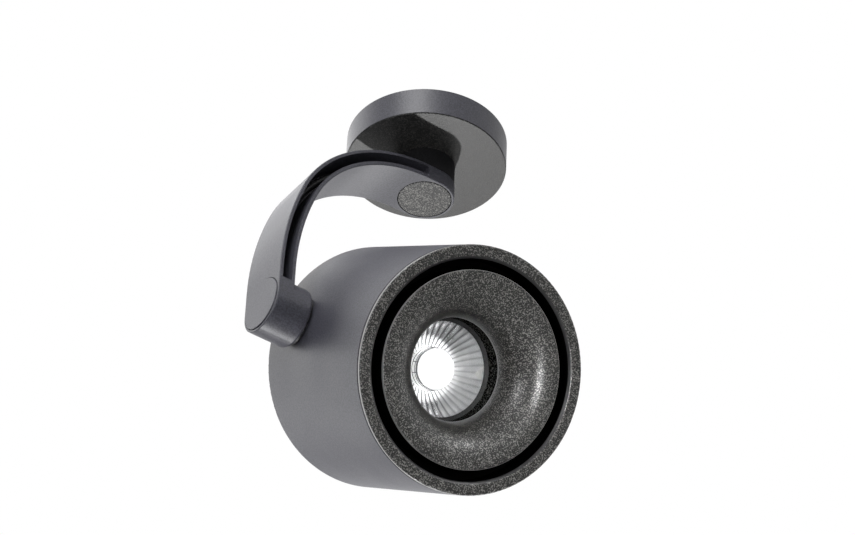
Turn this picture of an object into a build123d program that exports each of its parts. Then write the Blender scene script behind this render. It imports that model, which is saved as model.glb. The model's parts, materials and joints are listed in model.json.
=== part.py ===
"""Surface-mounted adjustable spotlight: a ceiling rose, a curved arm and a cylindrical head.

Millimetres, +Z up. The origin is the centre of the face that meets the ceiling, so the whole
lamp hangs below it. The arm leaves along -X and curves down. The head turns about the vertical
axis of the rose and tilts about a level axis along X at the arm's lower end. At rest it looks
along -Y and downwards by TILT_ANGLE.
"""
from build123d import *
import os
from math import cos, radians, sin, sqrt

# Ceiling rose and what it holds
ROSE_RADIUS = 41.5
ROSE_DEPTH = 16.5
ROSE_WALL = 2.2
ROSE_FACE = 2.5
ROSE_EDGE = 0.5
PLATE_THICKNESS = 1.5
PLATE_GAP = 0.8
PLATE_SLOT_SPACING = 50.0
PLATE_SLOT_LENGTH = 12.0
PLATE_SLOT_WIDTH = 4.6
PLATE_TAB_WIDTH = 11.0
PLATE_TAB_LENGTH = 9.0
PLATE_TAB_ANGLES = (0, 90, 225)
GRUB_DROP = 5.4
GRUB_SINK = 0.4
GRUB_REACH = 1.0
GRUB_SOCKET = 2.0
ENTRY_PLACE = (-15.0, -14.0)
ENTRY_RADIUS = 6.0
GROMMET_BORE = 4.2
GROMMET_LIP = 2.0
GROMMET_LIP_HEIGHT = 1.5
TERMINAL_SIZE = (24.0, 15.0, 10.0)
TERMINAL_RIM_GAP = 8.0
TERMINAL_EDGE = 0.6
TERMINAL_POLES = 3
TERMINAL_WALL = 0.8
EARTH_PLACE = (10.0, -22.0)

# Pan joint at the rose
DRUM_RADIUS = 15.0
SPIGOT_RADIUS = 6.5
SPIGOT_BORE = 4.0
SPIGOT_MOUTH = 2.4
SPIGOT_TIP = 0.6
RUNNING_GAP = 0.05
JOINT_GAP = 0.3
WASHER_RADIUS = 12.0
WASHER_THICKNESS = 0.8
SPRING_THICKNESS = 1.2
SPRING_RADIUS = 10.5
SPRING_SLIT = 1.6
NUT_FLATS = 19.0
NUT_HEIGHT = 4.0
STOP_GROOVE_RADIUS = 10.5
STOP_GROOVE_WIDTH = 2.6
STOP_GROOVE_DEPTH = 2.5
STOP_BLOCK_ANGLE = 12.0
STOP_PIN_RADIUS = 1.0
STOP_PIN_HEIGHT = 2.0

# Curved arm
ARM_TOP = 29.7
ARM_WIDTH = 30.5
ARM_THICKNESS = 9.0
ARM_STRAIGHT = 6.0
BEND_RADIUS = 81.0
BEND_ANGLE = 70.3
SWEEP_RADIUS = 165.0
ARM_EDGE = 0.5
CHANNEL_OUTER_WALL = 1.8
CHANNEL_INNER_WALL = 2.0
CHANNEL_FLOOR = 2.0
CHANNEL_WEB = 2.4
CHANNEL_END = 8.2
BACK_CHANNEL_END = 15.0
HUB_FLOOR = 2.2
HUB_LENGTH = 20.0
HUB_END_WALL = 4.0
HUB_END_ROUND = 1.5
CAVITY_RADIUS = 12.2
CAP_RADIUS = 13.7
CAP_THICKNESS = 1.5
CAP_GAP = 0.35
UPPER_CAP_PROUD = 0.1
LOWER_CAP_PROUD = 0.5
CAP_EDGE = 0.3
CAP_LIP_HEIGHT = 1.0
CAP_LIP_WIDTH = 1.0
CAP_LIP_GAP = 0.1

# Tilt joint at the head
TILT_DROP = 154.7
TILT_ANGLE = 33.25
TILT_UP_LIMIT = -33.25
TILT_DOWN_LIMIT = 56.75
SADDLE_GAP = 1.3
SADDLE_RADIUS = 12.5
SADDLE_BLOCK_RADIUS = 13.5
SADDLE_BLOCK_THICKNESS = 5.5
TILT_WASHER_RADIUS = 9.0
TAB_WASHER_THICKNESS = 1.0
TAB_REACH = 12.5
TAB_WIDTH = 3.0
TILT_PIN_RADIUS = 1.2
TILT_PIN_PITCH = 11.0
TILT_PIN_SPREAD = 61.0
TILT_PIN_DEPTH = 3.0

# Head housing
HEAD_RADIUS = 60.0
HEAD_FRONT = 76.4
HEAD_BACK = 24.8
HOUSING_WALL = 2.5
HOUSING_BACK_ROUND = 1.6
LEDGE_WIDTH = 3.0
LEDGE_THICKNESS = 2.0
LUG_RADIUS = 4.5
LUG_INSET = 4.0
LUG_LENGTH = 8.0
LUG_BLIND = 1.5
LUG_COUNT = 3
SINK_LUG_ANGLE = 30.0
COVER_LUG_ANGLE = 90.0
FIT_GAP = 0.1
SCREW_GAP = 0.05
OVERCUT = 1.0

# Front trim
BEZEL_DEPTH = 3.0
BEZEL_FACE = 7.1
BEZEL_LIP_ROUND = 2.4
BEZEL_EDGE = 0.7
BEZEL_SKIRT = 14.0
SEAM_WIDTH = 0.9
SEAM_SINK = 0.6
BAFFLE_GROOVE = 5.0
BAFFLE_FLAT = 3.2
BAFFLE_EDGE = 0.5
BAFFLE_WALL = 1.4
THROAT_RADIUS = 25.1
THROAT_DEPTH = 20.0
NECK_LENGTH = 9.6
NECK_EDGE = 0.4

# Optic and light source
HOLDER_LIP = 1.6
HOLDER_LIP_RADIUS = 23.3
HOLDER_RADIUS = 30.0
HOLDER_WALL = 1.6
HOLDER_FOOT_RADIUS = 36.0
HOLDER_FOOT = 2.0
HOLDER_CHAMFER_WIDTH = 2.0
HOLDER_CHAMFER_DEPTH = 1.0
HOLDER_SCREW_ANGLES = (30, 150, 270)
GLASS_THICKNESS = 1.2
REFLECTOR_WALL = 1.1
REFLECTOR_RIM = 1.0
REFLECTOR_MOUTH_GAP = 0.7
REFLECTOR_DEPTH = 12.0
REFLECTOR_BULGE = (0.60, 0.50)
GUIDE_RADIUS = 10.8
GUIDE_STEP = 0.25
GUIDE_STEPS = 3
GUIDE_REACH = 7.5
GUIDE_EDGE = 0.3
GUIDE_FLANGE = 1.6
LED_FRAME_RADIUS = 24.0
LED_FRAME_THICKNESS = 4.0
LED_FRAME_LIP = 0.7
FRAME_SCREW_ANGLES = (0, 180)
SUBSTRATE_SIDE = 28.0
SUBSTRATE_THICKNESS = 1.4
EMITTER_RADIUS = 9.5
EMITTER_THICKNESS = 0.5
PAD_THICKNESS = 0.4

# Heat sink and driver
SINK_PLATE = 5.0
SINK_PLATE_GAP = 0.2
SINK_PLATE_FLOOR = 1.0
FIN_INSET = 10.0
FIN_NUT_GAP = 1.0
FIN_ROOT = 0.5
FIN_THICKNESS = 1.8
FIN_PITCH = 7.6
WIRE_NOTCH_WIDTH = 7.0
WIRE_NOTCH_DEPTH = 12.0
DRIVER_SIZE = (40.0, 72.0, 25.0)
DRIVER_START = -12.0
DRIVER_EAR = 6.0
DRIVER_EAR_THICKNESS = 2.0
DRIVER_EDGE = 1.5
COVER_THICKNESS = 3.0
COVER_RECESS = 1.2
COVER_GROOVE_INSET = 19.5
COVER_GROOVE_WIDTH = 1.2
COVER_GROOVE_DEPTH = 0.6

# Screws and wiring
M3_RADIUS = 1.5
M3_HEAD_RADIUS = 2.75
M3_HEAD_HEIGHT = 1.8
M4_RADIUS = 2.0
SCREW_SLOT = 0.7
DRUM_SCREW_LENGTH = 7.0
TERMINAL_SCREW_SINK = 0.5
EARTH_BUSH_HEIGHT = 3.0
EARTH_BUSH_WALL = 1.0
CABLE_RADIUS = 1.8
CABLE_BEND = 5.0
LEAD_GRIP = 4.0
LED_WIRE_RADIUS = 1.2
LED_WIRE_BEND = 3.0
LED_WIRE_LIFT = 1.2
LED_WIRE_INSET = 6.0
CABLE_BREAK = 0.3

# Places that follow from the sizes above
ARM_BOTTOM = ARM_TOP + ARM_THICKNESS
HUB_RADIUS = ARM_WIDTH / 2
ARM_REACH = (ARM_STRAIGHT + BEND_RADIUS * sin(radians(BEND_ANGLE))
             + SWEEP_RADIUS * (1 - sin(radians(BEND_ANGLE))))
HUB_END = -ARM_REACH + HUB_LENGTH
HEAD_X = HUB_END + SADDLE_GAP + HEAD_RADIUS
BORE_RADIUS = HEAD_RADIUS - HOUSING_WALL
CHANNEL_MIDDLE = (CHANNEL_OUTER_WALL + ARM_THICKNESS - CHANNEL_INNER_WALL) / 2
ROSE_INSIDE = -ROSE_DEPTH + ROSE_FACE
PLATE_RADIUS = ROSE_RADIUS - ROSE_WALL - PLATE_GAP
TERMINAL_START = PLATE_RADIUS - TERMINAL_RIM_GAP - TERMINAL_SIZE[1]
GRUB_LEVEL = -PLATE_THICKNESS - GRUB_DROP
WIRE_LEVEL = -PLATE_THICKNESS - TERMINAL_WALL - FIT_GAP - CABLE_RADIUS
PAN_WASHER_TOP = ROSE_INSIDE + WASHER_THICKNESS
PAN_SPRING_TOP = PAN_WASHER_TOP + SPRING_THICKNESS
PAN_NUT_TOP = PAN_SPRING_TOP + NUT_HEIGHT
PAN_SPIGOT_TOP = PAN_NUT_TOP + SPIGOT_TIP
BLOCK_OUTER = HEAD_X - BORE_RADIUS
BLOCK_INNER = BLOCK_OUTER + SADDLE_BLOCK_THICKNESS
TILT_WASHER_END = BLOCK_INNER + WASHER_THICKNESS
TAB_WASHER_END = TILT_WASHER_END + TAB_WASHER_THICKNESS
TILT_SPRING_END = TAB_WASHER_END + SPRING_THICKNESS
TILT_NUT_END = TILT_SPRING_END + NUT_HEIGHT
TILT_SPIGOT_END = TILT_NUT_END + SPIGOT_TIP
LUG_PITCH = BORE_RADIUS - LUG_INSET
BEZEL_LIP_RADIUS = HEAD_RADIUS - BEZEL_FACE
BAFFLE_RADIUS = BEZEL_LIP_RADIUS - BAFFLE_GROOVE
NECK_END = THROAT_DEPTH + NECK_LENGTH
HOLDER_START = NECK_END + FIT_GAP
GLASS_START = HOLDER_START + HOLDER_LIP
REFLECTOR_START = GLASS_START + GLASS_THICKNESS
REFLECTOR_MOUTH = HOLDER_LIP_RADIUS + REFLECTOR_MOUTH_GAP
REFLECTOR_THROAT = GUIDE_RADIUS + FIT_GAP
FRAME_START = REFLECTOR_START + REFLECTOR_DEPTH
GUIDE_FRONT = FRAME_START - GUIDE_REACH
SINK_START = FRAME_START + LED_FRAME_THICKNESS
SUBSTRATE_FRONT = SINK_START - PAD_THICKNESS - SUBSTRATE_THICKNESS
EMITTER_FRONT = SUBSTRATE_FRONT - EMITTER_THICKNESS
SINK_BACK = SINK_START + SINK_PLATE
FINS_END = HEAD_FRONT - NUT_FLATS / sqrt(3) - FIN_NUT_GAP
FIN_CIRCLE = BORE_RADIUS - FIN_INSET
WIRE_NOTCH_RADIUS = BORE_RADIUS - WIRE_NOTCH_DEPTH
HEAD_LENGTH = HEAD_FRONT + HEAD_BACK
COVER_FRONT = HEAD_LENGTH - COVER_RECESS - COVER_THICKNESS
COVER_BACK = COVER_FRONT + COVER_THICKNESS
DRIVER_FRONT = COVER_FRONT - DRIVER_SIZE[2]

HEAD_PLACE = Pos(HEAD_X, 0, -TILT_DROP) * Rot(90 + TILT_ANGLE, 0, 0)
TILT_PLACE = Pos(0, 0, -TILT_DROP) * Rot(0, 90, 0)
SINK_ANGLES = [SINK_LUG_ANGLE + 360 / LUG_COUNT * number for number in range(LUG_COUNT)]
COVER_ANGLES = [COVER_LUG_ANGLE + 360 / LUG_COUNT * number for number in range(LUG_COUNT)]


def rod(radius, low, high):
    """A solid round bar on the Z axis from one height to another."""
    return Pos(0, 0, (low + high) / 2) * Cylinder(radius, abs(high - low))


def ring(outer, inner, low, high):
    """A flat-ended tube on the Z axis."""
    return rod(outer, low, high) - rod(inner, low - OVERCUT, high + OVERCUT)


def turned(points):
    """A body of revolution about Z from (radius, height) corners."""
    outline = Polyline(*[(radius, 0, height) for radius, height in points], close=True)
    return revolve(make_face(outline.edges()), Axis.Z)


def slab(x_range, y_range, z_range):
    """A box between pairs of coordinates."""
    spans = (x_range, y_range, z_range)
    middle = [sum(span) / 2 for span in spans]
    return Pos(*middle) * Box(*[abs(span[1] - span[0]) for span in spans])


def rim_edges(shape, height, radius):
    """The circular edges of one radius at one height on the Z axis."""
    circles = shape.edges().filter_by(GeomType.CIRCLE)
    level = circles.filter_by(lambda edge: abs(edge.arc_center.Z - height) < 0.01)
    return level.filter_by(lambda edge: abs(edge.radius - radius) < 0.01)


def around(shape, angles):
    """Copies of a shape turned about Z."""
    return [Rot(0, 0, angle) * shape for angle in angles]


def depth(distance):
    """Height on the head's own axis of a plane at a depth behind the front face."""
    return HEAD_FRONT - distance


def pan_head_screw(top, length, radius=M3_RADIUS):
    """A screw whose head stands on the plane `top` and whose shank goes down from it."""
    return rod(M3_HEAD_RADIUS, top, top + M3_HEAD_HEIGHT) + rod(radius, top - length, top)


def flat_head_screw(top, length):
    """A countersunk screw with its flat head level with the plane `top`."""
    head = Pos(0, 0, top - M3_HEAD_HEIGHT / 2) * Cone(M3_RADIUS, M3_HEAD_RADIUS, M3_HEAD_HEIGHT)
    return head + rod(M3_RADIUS, top - length, top - M3_HEAD_HEIGHT)


def screw_hole(top, length):
    """The countersunk hole for flat_head_screw, with its clearance."""
    wide = M3_HEAD_RADIUS + SCREW_GAP
    narrow = M3_RADIUS + SCREW_GAP
    sink = Pos(0, 0, top - M3_HEAD_HEIGHT / 2) * Cone(narrow, wide, M3_HEAD_HEIGHT)
    return sink + rod(narrow, top - length - SCREW_GAP, top - M3_HEAD_HEIGHT)


def locknut(bottom):
    """A thin hexagon nut that grips a spigot."""
    blank = extrude(RegularPolygon(NUT_FLATS / 2, 6, major_radius=False), NUT_HEIGHT)
    bore = rod(SPIGOT_RADIUS, bottom - OVERCUT, bottom + NUT_HEIGHT + OVERCUT)
    return Pos(0, 0, bottom) * blank - bore


def spring_washer(bottom):
    """A split ring that keeps the friction washer pressed."""
    top = bottom + SPRING_THICKNESS
    whole = ring(SPRING_RADIUS, SPIGOT_RADIUS + RUNNING_GAP, bottom, top)
    return whole - slab((0, SPRING_RADIUS + OVERCUT), (0, SPRING_SLIT),
                        (bottom - OVERCUT, top + OVERCUT))


def tube(path, radius):
    """A round cable along a path of straight runs and tangent arcs."""
    start = Plane(path @ 0, z_dir=path % 0)
    return sweep(start * Circle(radius), path=path)


def arm_line(inset):
    """The arm's outline in its own plane, `inset` inside its outer face."""
    level = -(ARM_TOP + inset)
    straight = Line((0, level), (-ARM_STRAIGHT, level))
    bend = JernArc(straight @ 1, straight % 1, BEND_RADIUS - inset, BEND_ANGLE)
    easing = JernArc(bend @ 1, bend % 1, SWEEP_RADIUS - inset, 90 - BEND_ANGLE)
    drop = Line(easing @ 1, ((easing @ 1).X, -TILT_DROP))
    return straight + bend + easing + drop


def arm_band(outer_inset, inner_inset, low_y, high_y):
    """The curved band between two insets, from one Y to another."""
    outer, inner = arm_line(outer_inset), arm_line(inner_inset)
    ends = [Line(outer @ 0, inner @ 0), Line(outer @ 1, inner @ 1)]
    face = make_face(outer.edges() + inner.edges() + ends)
    return Pos(0, high_y, 0) * extrude(Plane.XZ * face, high_y - low_y)


def channel(low_y, high_y, end):
    """A slot along the arm that stops short of both hub axes by `end`."""
    inner_inset = ARM_THICKNESS - CHANNEL_INNER_WALL
    kept = slab((-ARM_REACH, -end), (low_y, high_y), (-TILT_DROP + end, -ARM_TOP))
    return arm_band(CHANNEL_OUTER_WALL, inner_inset, low_y, high_y) & kept


def spigot(base, tip, mouth):
    """The hollow shaft of a hub, and the funnel that its cable bends through."""
    bore = rod(SPIGOT_BORE, min(mouth, tip) - OVERCUT, max(mouth, tip) + OVERCUT)
    wide = SPIGOT_BORE + SPIGOT_MOUTH
    middle = mouth + (SPIGOT_MOUTH / 2 if tip > mouth else -SPIGOT_MOUTH / 2)
    funnel = Pos(0, 0, middle) * Cone(wide, SPIGOT_BORE, SPIGOT_MOUTH)
    return rod(SPIGOT_RADIUS, base, tip), bore + funnel


def follows_band(edge):
    """True for an edge that runs along the arm, and not for one across it or through it."""
    across = edge.geom_type == GeomType.LINE and abs(edge.tangent_at(0.5).Y) > 0.5
    return not across and abs(edge.length - ARM_THICKNESS) > 0.01


def make_arm_blank():
    """The arm's outside: the band, its round upper end and the lower hub, edges rounded."""
    blank = arm_band(0, ARM_THICKNESS, -HUB_RADIUS, HUB_RADIUS)
    upper_end = rod(HUB_RADIUS, -ARM_BOTTOM, -ARM_TOP)
    blank += upper_end & slab((0, HUB_RADIUS), (-HUB_RADIUS, HUB_RADIUS), (-ARM_BOTTOM, -ARM_TOP))
    blank = fillet(blank.edges().filter_by(follows_band), ARM_EDGE)
    hub = rod(HUB_RADIUS, -ARM_REACH, HUB_END)
    hub = fillet(rim_edges(hub, HUB_END, HUB_RADIUS), HUB_END_ROUND)
    hub = fillet(rim_edges(hub, -ARM_REACH, HUB_RADIUS), ARM_EDGE)
    return blank + TILT_PLACE * hub


def make_arm():
    """The cast arm with its two hubs, hollow spigots and cable channels."""
    body = make_arm_blank()
    cap_seat = CAP_RADIUS + CAP_GAP
    pan_floor = -ARM_TOP - HUB_FLOOR
    tilt_floor = HUB_END - HUB_END_WALL
    pan_shaft, pan_bore = spigot(pan_floor, PAN_SPIGOT_TOP, pan_floor)
    tilt_shaft, tilt_bore = spigot(tilt_floor, TILT_SPIGOT_END, tilt_floor)
    body += pan_shaft
    body += TILT_PLACE * tilt_shaft
    body -= channel(-HUB_RADIUS - OVERCUT, CHANNEL_FLOOR, CHANNEL_END)
    body -= channel(CHANNEL_FLOOR + CHANNEL_WEB, HUB_RADIUS + OVERCUT, BACK_CHANNEL_END)
    body -= rod(CAVITY_RADIUS, -ARM_BOTTOM, pan_floor)
    body -= rod(cap_seat, -ARM_BOTTOM - OVERCUT, -ARM_BOTTOM + CAP_THICKNESS)
    body -= TILT_PLACE * rod(CAVITY_RADIUS, -ARM_REACH, tilt_floor)
    body -= TILT_PLACE * rod(cap_seat, -ARM_REACH - OVERCUT, -ARM_REACH + CAP_THICKNESS)
    body -= pan_bore
    body -= TILT_PLACE * tilt_bore
    return body - Pos(-STOP_GROOVE_RADIUS, 0, 0) * rod(STOP_PIN_RADIUS, pan_floor - OVERCUT, 0)


def make_cap(proud):
    """A hub cap whose face stands `proud` below height 0, with its snap lip above its seat."""
    plate = rod(CAP_RADIUS, -proud, CAP_THICKNESS)
    plate = chamfer(rim_edges(plate, -proud, CAP_RADIUS), CAP_EDGE)
    lip = CAVITY_RADIUS - CAP_LIP_GAP
    return plate + ring(lip, lip - CAP_LIP_WIDTH, CAP_THICKNESS, CAP_THICKNESS + CAP_LIP_HEIGHT)


def make_arm_cable():
    """The flat-lying cable from the rose to the head, through both spigots."""
    middle = arm_line(CHANNEL_MIDDLE)
    straight, bend, easing, drop = middle.edges()
    top = PAN_SPIGOT_TOP - CABLE_BREAK
    level = -(ARM_TOP + CHANNEL_MIDDLE)
    rise = Line((0, top), (0, level + CABLE_BEND))
    turn_in = JernArc(rise @ 1, rise % 1, CABLE_BEND, -90)
    lead_in = Line(turn_in @ 1, (-ARM_STRAIGHT, level))
    lead_out = Line(drop @ 0, ((drop @ 0).X, -TILT_DROP + CABLE_BEND))
    turn_out = JernArc(lead_out @ 1, lead_out % 1, CABLE_BEND, 90)
    end = Line(turn_out @ 1, (TILT_SPIGOT_END - CABLE_BREAK, -TILT_DROP))
    path = Wire([Plane.XZ * edge for edge in
                 (rise, turn_in, lead_in, bend, easing, lead_out, turn_out, end)])
    return tube(path, CABLE_RADIUS)


def make_rose():
    """The shallow cup that meets the ceiling, with its grub and drum screw holes."""
    cup = rod(ROSE_RADIUS, -ROSE_DEPTH, 0)
    cup = chamfer(rim_edges(cup, -ROSE_DEPTH, ROSE_RADIUS), ROSE_EDGE)
    cup -= rod(ROSE_RADIUS - ROSE_WALL, ROSE_INSIDE, OVERCUT)
    cup -= rod(SPIGOT_RADIUS + RUNNING_GAP, -ROSE_DEPTH - OVERCUT, 0)
    for hole in drum_screw_places(screw_hole(ROSE_INSIDE, DRUM_SCREW_LENGTH)):
        cup -= hole
    for hole in grub_places(rod(M4_RADIUS + SCREW_GAP, 0, ROSE_RADIUS + OVERCUT)):
        cup -= hole
    return cup


def drum_screw_places(shape):
    """Two places beside the pan axis, clear of the stop groove."""
    return [Pos(0, side * STOP_GROOVE_RADIUS, 0) * shape for side in (-1, 1)]


def grub_places(shape):
    """The two sides where a grub screw runs in towards the axis."""
    level = Pos(0, 0, GRUB_LEVEL) * Rot(0, 90, 0) * shape
    return around(level, PLATE_TAB_ANGLES[:2])


def make_grub_screws():
    """Socket grub screws level with the rose's rim."""
    inner = PLATE_RADIUS - PLATE_THICKNESS - GRUB_REACH
    blank = rod(M4_RADIUS, inner, ROSE_RADIUS - GRUB_SINK)
    socket = extrude(RegularPolygon(M4_RADIUS / 2, 6), GRUB_SOCKET)
    blank -= Pos(0, 0, ROSE_RADIUS - GRUB_SOCKET) * socket
    return Part() + grub_places(blank)


def make_mounting_plate():
    """The steel plate on the ceiling, with slots, cable entry and bent tabs."""
    plate = rod(PLATE_RADIUS, -PLATE_THICKNESS, 0)
    slot = extrude(SlotOverall(PLATE_SLOT_LENGTH, PLATE_SLOT_WIDTH), 2 * PLATE_THICKNESS)
    for side in (-1, 1):
        plate -= Pos(side * PLATE_SLOT_SPACING / 2, 0, -1.5 * PLATE_THICKNESS) * slot
    plate -= Pos(*ENTRY_PLACE, 0) * rod(ENTRY_RADIUS, -PLATE_THICKNESS - OVERCUT, OVERCUT)
    tab = slab((PLATE_RADIUS - 2 * PLATE_THICKNESS, PLATE_RADIUS - PLATE_THICKNESS),
               (-PLATE_TAB_WIDTH / 2, PLATE_TAB_WIDTH / 2),
               (-PLATE_THICKNESS - PLATE_TAB_LENGTH, -PLATE_THICKNESS / 2))
    for turned_tab in around(tab, PLATE_TAB_ANGLES):
        plate += turned_tab
    inside_tab = PLATE_RADIUS - 2 * PLATE_THICKNESS - OVERCUT
    for hole in grub_places(rod(M4_RADIUS + SCREW_GAP, inside_tab, PLATE_RADIUS)):
        plate -= hole
    return plate


def make_entry_grommet():
    """The rubber sleeve in the plate's cable entry."""
    neck = ring(ENTRY_RADIUS, GROMMET_BORE, -PLATE_THICKNESS, 0)
    lip_bottom = -PLATE_THICKNESS - GROMMET_LIP_HEIGHT
    lip = ring(ENTRY_RADIUS + GROMMET_LIP, GROMMET_BORE, lip_bottom, -PLATE_THICKNESS)
    return Pos(*ENTRY_PLACE, 0) * (neck + lip)


def make_terminal_block():
    """The screw terminal under the plate, with a wire way through each pole."""
    width, length, height = TERMINAL_SIZE
    top = -PLATE_THICKNESS
    block = slab((-width / 2, width / 2), (TERMINAL_START, TERMINAL_START + length),
                 (top - height, top))
    block = fillet(block.edges().filter_by(Axis.Y), TERMINAL_EDGE)
    for x in terminal_columns():
        way = rod(CABLE_RADIUS + FIT_GAP, TERMINAL_START - OVERCUT,
                  TERMINAL_START + length + OVERCUT)
        block -= Pos(x, 0, WIRE_LEVEL) * Rot(-90, 0, 0) * way
    return block - terminal_screw_bores(top - height)


def terminal_columns():
    """The X of each pole of the terminal block."""
    pitch = TERMINAL_SIZE[0] / TERMINAL_POLES
    return [pitch * (pole - (TERMINAL_POLES - 1) / 2) for pole in range(TERMINAL_POLES)]


def terminal_screw_sites(shape):
    """Two screw places on each pole."""
    length = TERMINAL_SIZE[1]
    rows = (TERMINAL_START + length / 4, TERMINAL_START + 3 * length / 4)
    return [Pos(x, y, 0) * shape for x in terminal_columns() for y in rows]


def terminal_screw_bores(face):
    """The wells that the clamp screws sit in."""
    well = rod(M3_RADIUS + SCREW_GAP, face - OVERCUT, WIRE_LEVEL)
    return Part() + terminal_screw_sites(well)


def make_terminal_screws():
    """The slotted clamp screws, sunk a little into the block's lower face."""
    head = -PLATE_THICKNESS - TERMINAL_SIZE[2] + TERMINAL_SCREW_SINK
    screw = rod(M3_RADIUS, head, WIRE_LEVEL - CABLE_RADIUS - FIT_GAP)
    slot_half = SCREW_SLOT / 2
    screw -= slab((-slot_half, slot_half), (-M3_HEAD_RADIUS, M3_HEAD_RADIUS),
                  (head - OVERCUT, head + SCREW_SLOT))
    return Part() + terminal_screw_sites(screw)


def make_earth_terminal():
    """The pressed bush and screw that take the earth wire."""
    seat = -PLATE_THICKNESS - EARTH_BUSH_HEIGHT
    bush = rod(M3_HEAD_RADIUS + EARTH_BUSH_WALL, seat, -PLATE_THICKNESS)
    screw = rod(M3_HEAD_RADIUS, seat - M3_HEAD_HEIGHT, seat)
    slot_half = SCREW_SLOT / 2
    slot = slab((-slot_half, slot_half), (-M3_HEAD_RADIUS, M3_HEAD_RADIUS),
                (seat - M3_HEAD_HEIGHT - OVERCUT, seat - M3_HEAD_HEIGHT + SCREW_SLOT))
    return Pos(*EARTH_PLACE, 0) * (bush + screw - slot)


def make_rose_leads():
    """The leads from the terminal block to the middle of the pan spigot."""
    bend = WIRE_LEVEL - PAN_SPIGOT_TOP
    half_way = (0, bend * (1 - cos(radians(45))), WIRE_LEVEL - bend * (1 - sin(radians(45))))
    arc = ThreePointArc((0, 0, PAN_SPIGOT_TOP), half_way, (0, bend, WIRE_LEVEL))
    run = Line((0, bend, WIRE_LEVEL), (0, TERMINAL_START + LEAD_GRIP, WIRE_LEVEL))
    return tube(Wire([arc, run]), CABLE_RADIUS)


def make_pan_drum():
    """The fixed drum between the rose and the arm, with the groove of the pan stop."""
    bottom = -ARM_TOP + JOINT_GAP
    drum = ring(DRUM_RADIUS, SPIGOT_RADIUS + RUNNING_GAP, bottom, -ROSE_DEPTH)
    groove = ring(STOP_GROOVE_RADIUS + STOP_GROOVE_WIDTH / 2,
                  STOP_GROOVE_RADIUS - STOP_GROOVE_WIDTH / 2,
                  bottom - OVERCUT, bottom + STOP_GROOVE_DEPTH)
    half_block = radians(STOP_BLOCK_ANGLE / 2) * STOP_GROOVE_RADIUS
    block = slab((0, DRUM_RADIUS), (-half_block, half_block),
                 (bottom - 2 * OVERCUT, bottom + STOP_GROOVE_DEPTH + OVERCUT))
    drum -= groove - block
    for hole in drum_screw_places(screw_hole(ROSE_INSIDE, DRUM_SCREW_LENGTH)):
        drum -= hole
    return drum


def make_pan_stop_pin():
    """The dowel in the arm that runs in the drum's groove."""
    pin = rod(STOP_PIN_RADIUS, -ARM_TOP - HUB_FLOOR, -ARM_TOP + STOP_PIN_HEIGHT)
    return Pos(-STOP_GROOVE_RADIUS, 0, 0) * pin


def head_cylinder(radius):
    """The head's round body, long enough to cut its neighbours to its curve."""
    return HEAD_PLACE * rod(radius, -HEAD_BACK, HEAD_FRONT)


def make_saddle_washer():
    """The dark collar between the arm's hub and the housing, cut to the housing's curve."""
    collar = ring(SADDLE_RADIUS, SPIGOT_RADIUS + RUNNING_GAP, HUB_END, HEAD_X)
    return TILT_PLACE * collar - head_cylinder(HEAD_RADIUS)


def make_saddle_block():
    """The block inside the housing that turns its curved wall into a flat seat."""
    block = ring(SADDLE_BLOCK_RADIUS, SPIGOT_RADIUS + RUNNING_GAP, BLOCK_OUTER - OVERCUT,
                 BLOCK_INNER)
    pins = tilt_pin_places(rod(TILT_PIN_RADIUS, BLOCK_INNER - TILT_PIN_DEPTH,
                               BLOCK_INNER + OVERCUT))
    block -= Part() + pins
    return TILT_PLACE * block & head_cylinder(BORE_RADIUS - FIT_GAP)


def tilt_pin_places(shape):
    """The two stop pins' places about the tilt axis, at rest.

    A height on the TILT_PLACE axis is an X, and a turn about it is a turn about X.
    The fixed tab points up, so the pins stand either side of the middle of the travel.
    """
    middle = 180 - (TILT_UP_LIMIT + TILT_DOWN_LIMIT) / 2
    angles = [middle - TILT_PIN_SPREAD, middle + TILT_PIN_SPREAD]
    return around(Pos(TILT_PIN_PITCH, 0, 0) * shape, angles)


def make_tilt_stop_pins():
    """Dowels in the saddle block that meet the tab washer at the ends of the travel."""
    pin = rod(TILT_PIN_RADIUS, BLOCK_INNER - TILT_PIN_DEPTH, TAB_WASHER_END)
    return TILT_PLACE * (Part() + tilt_pin_places(pin))


def make_tab_washer():
    """The washer that is keyed to the arm's spigot and carries the stop tab."""
    washer = ring(TILT_WASHER_RADIUS, SPIGOT_RADIUS, TILT_WASHER_END, TAB_WASHER_END)
    tab = slab((-TAB_REACH, OVERCUT - TILT_WASHER_RADIUS), (-TAB_WIDTH / 2, TAB_WIDTH / 2),
               (TILT_WASHER_END, TAB_WASHER_END))
    return TILT_PLACE * (washer + tab)


def lugs(start, end, angles):
    """Screw lugs inside the housing between two depths."""
    lug = Pos(LUG_PITCH, 0, 0) * rod(LUG_RADIUS, depth(end), depth(start))
    lug += slab((LUG_PITCH, HEAD_RADIUS - HOUSING_WALL / 2), (-LUG_RADIUS, LUG_RADIUS),
                (depth(end), depth(start)))
    return around(lug, angles)


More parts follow.
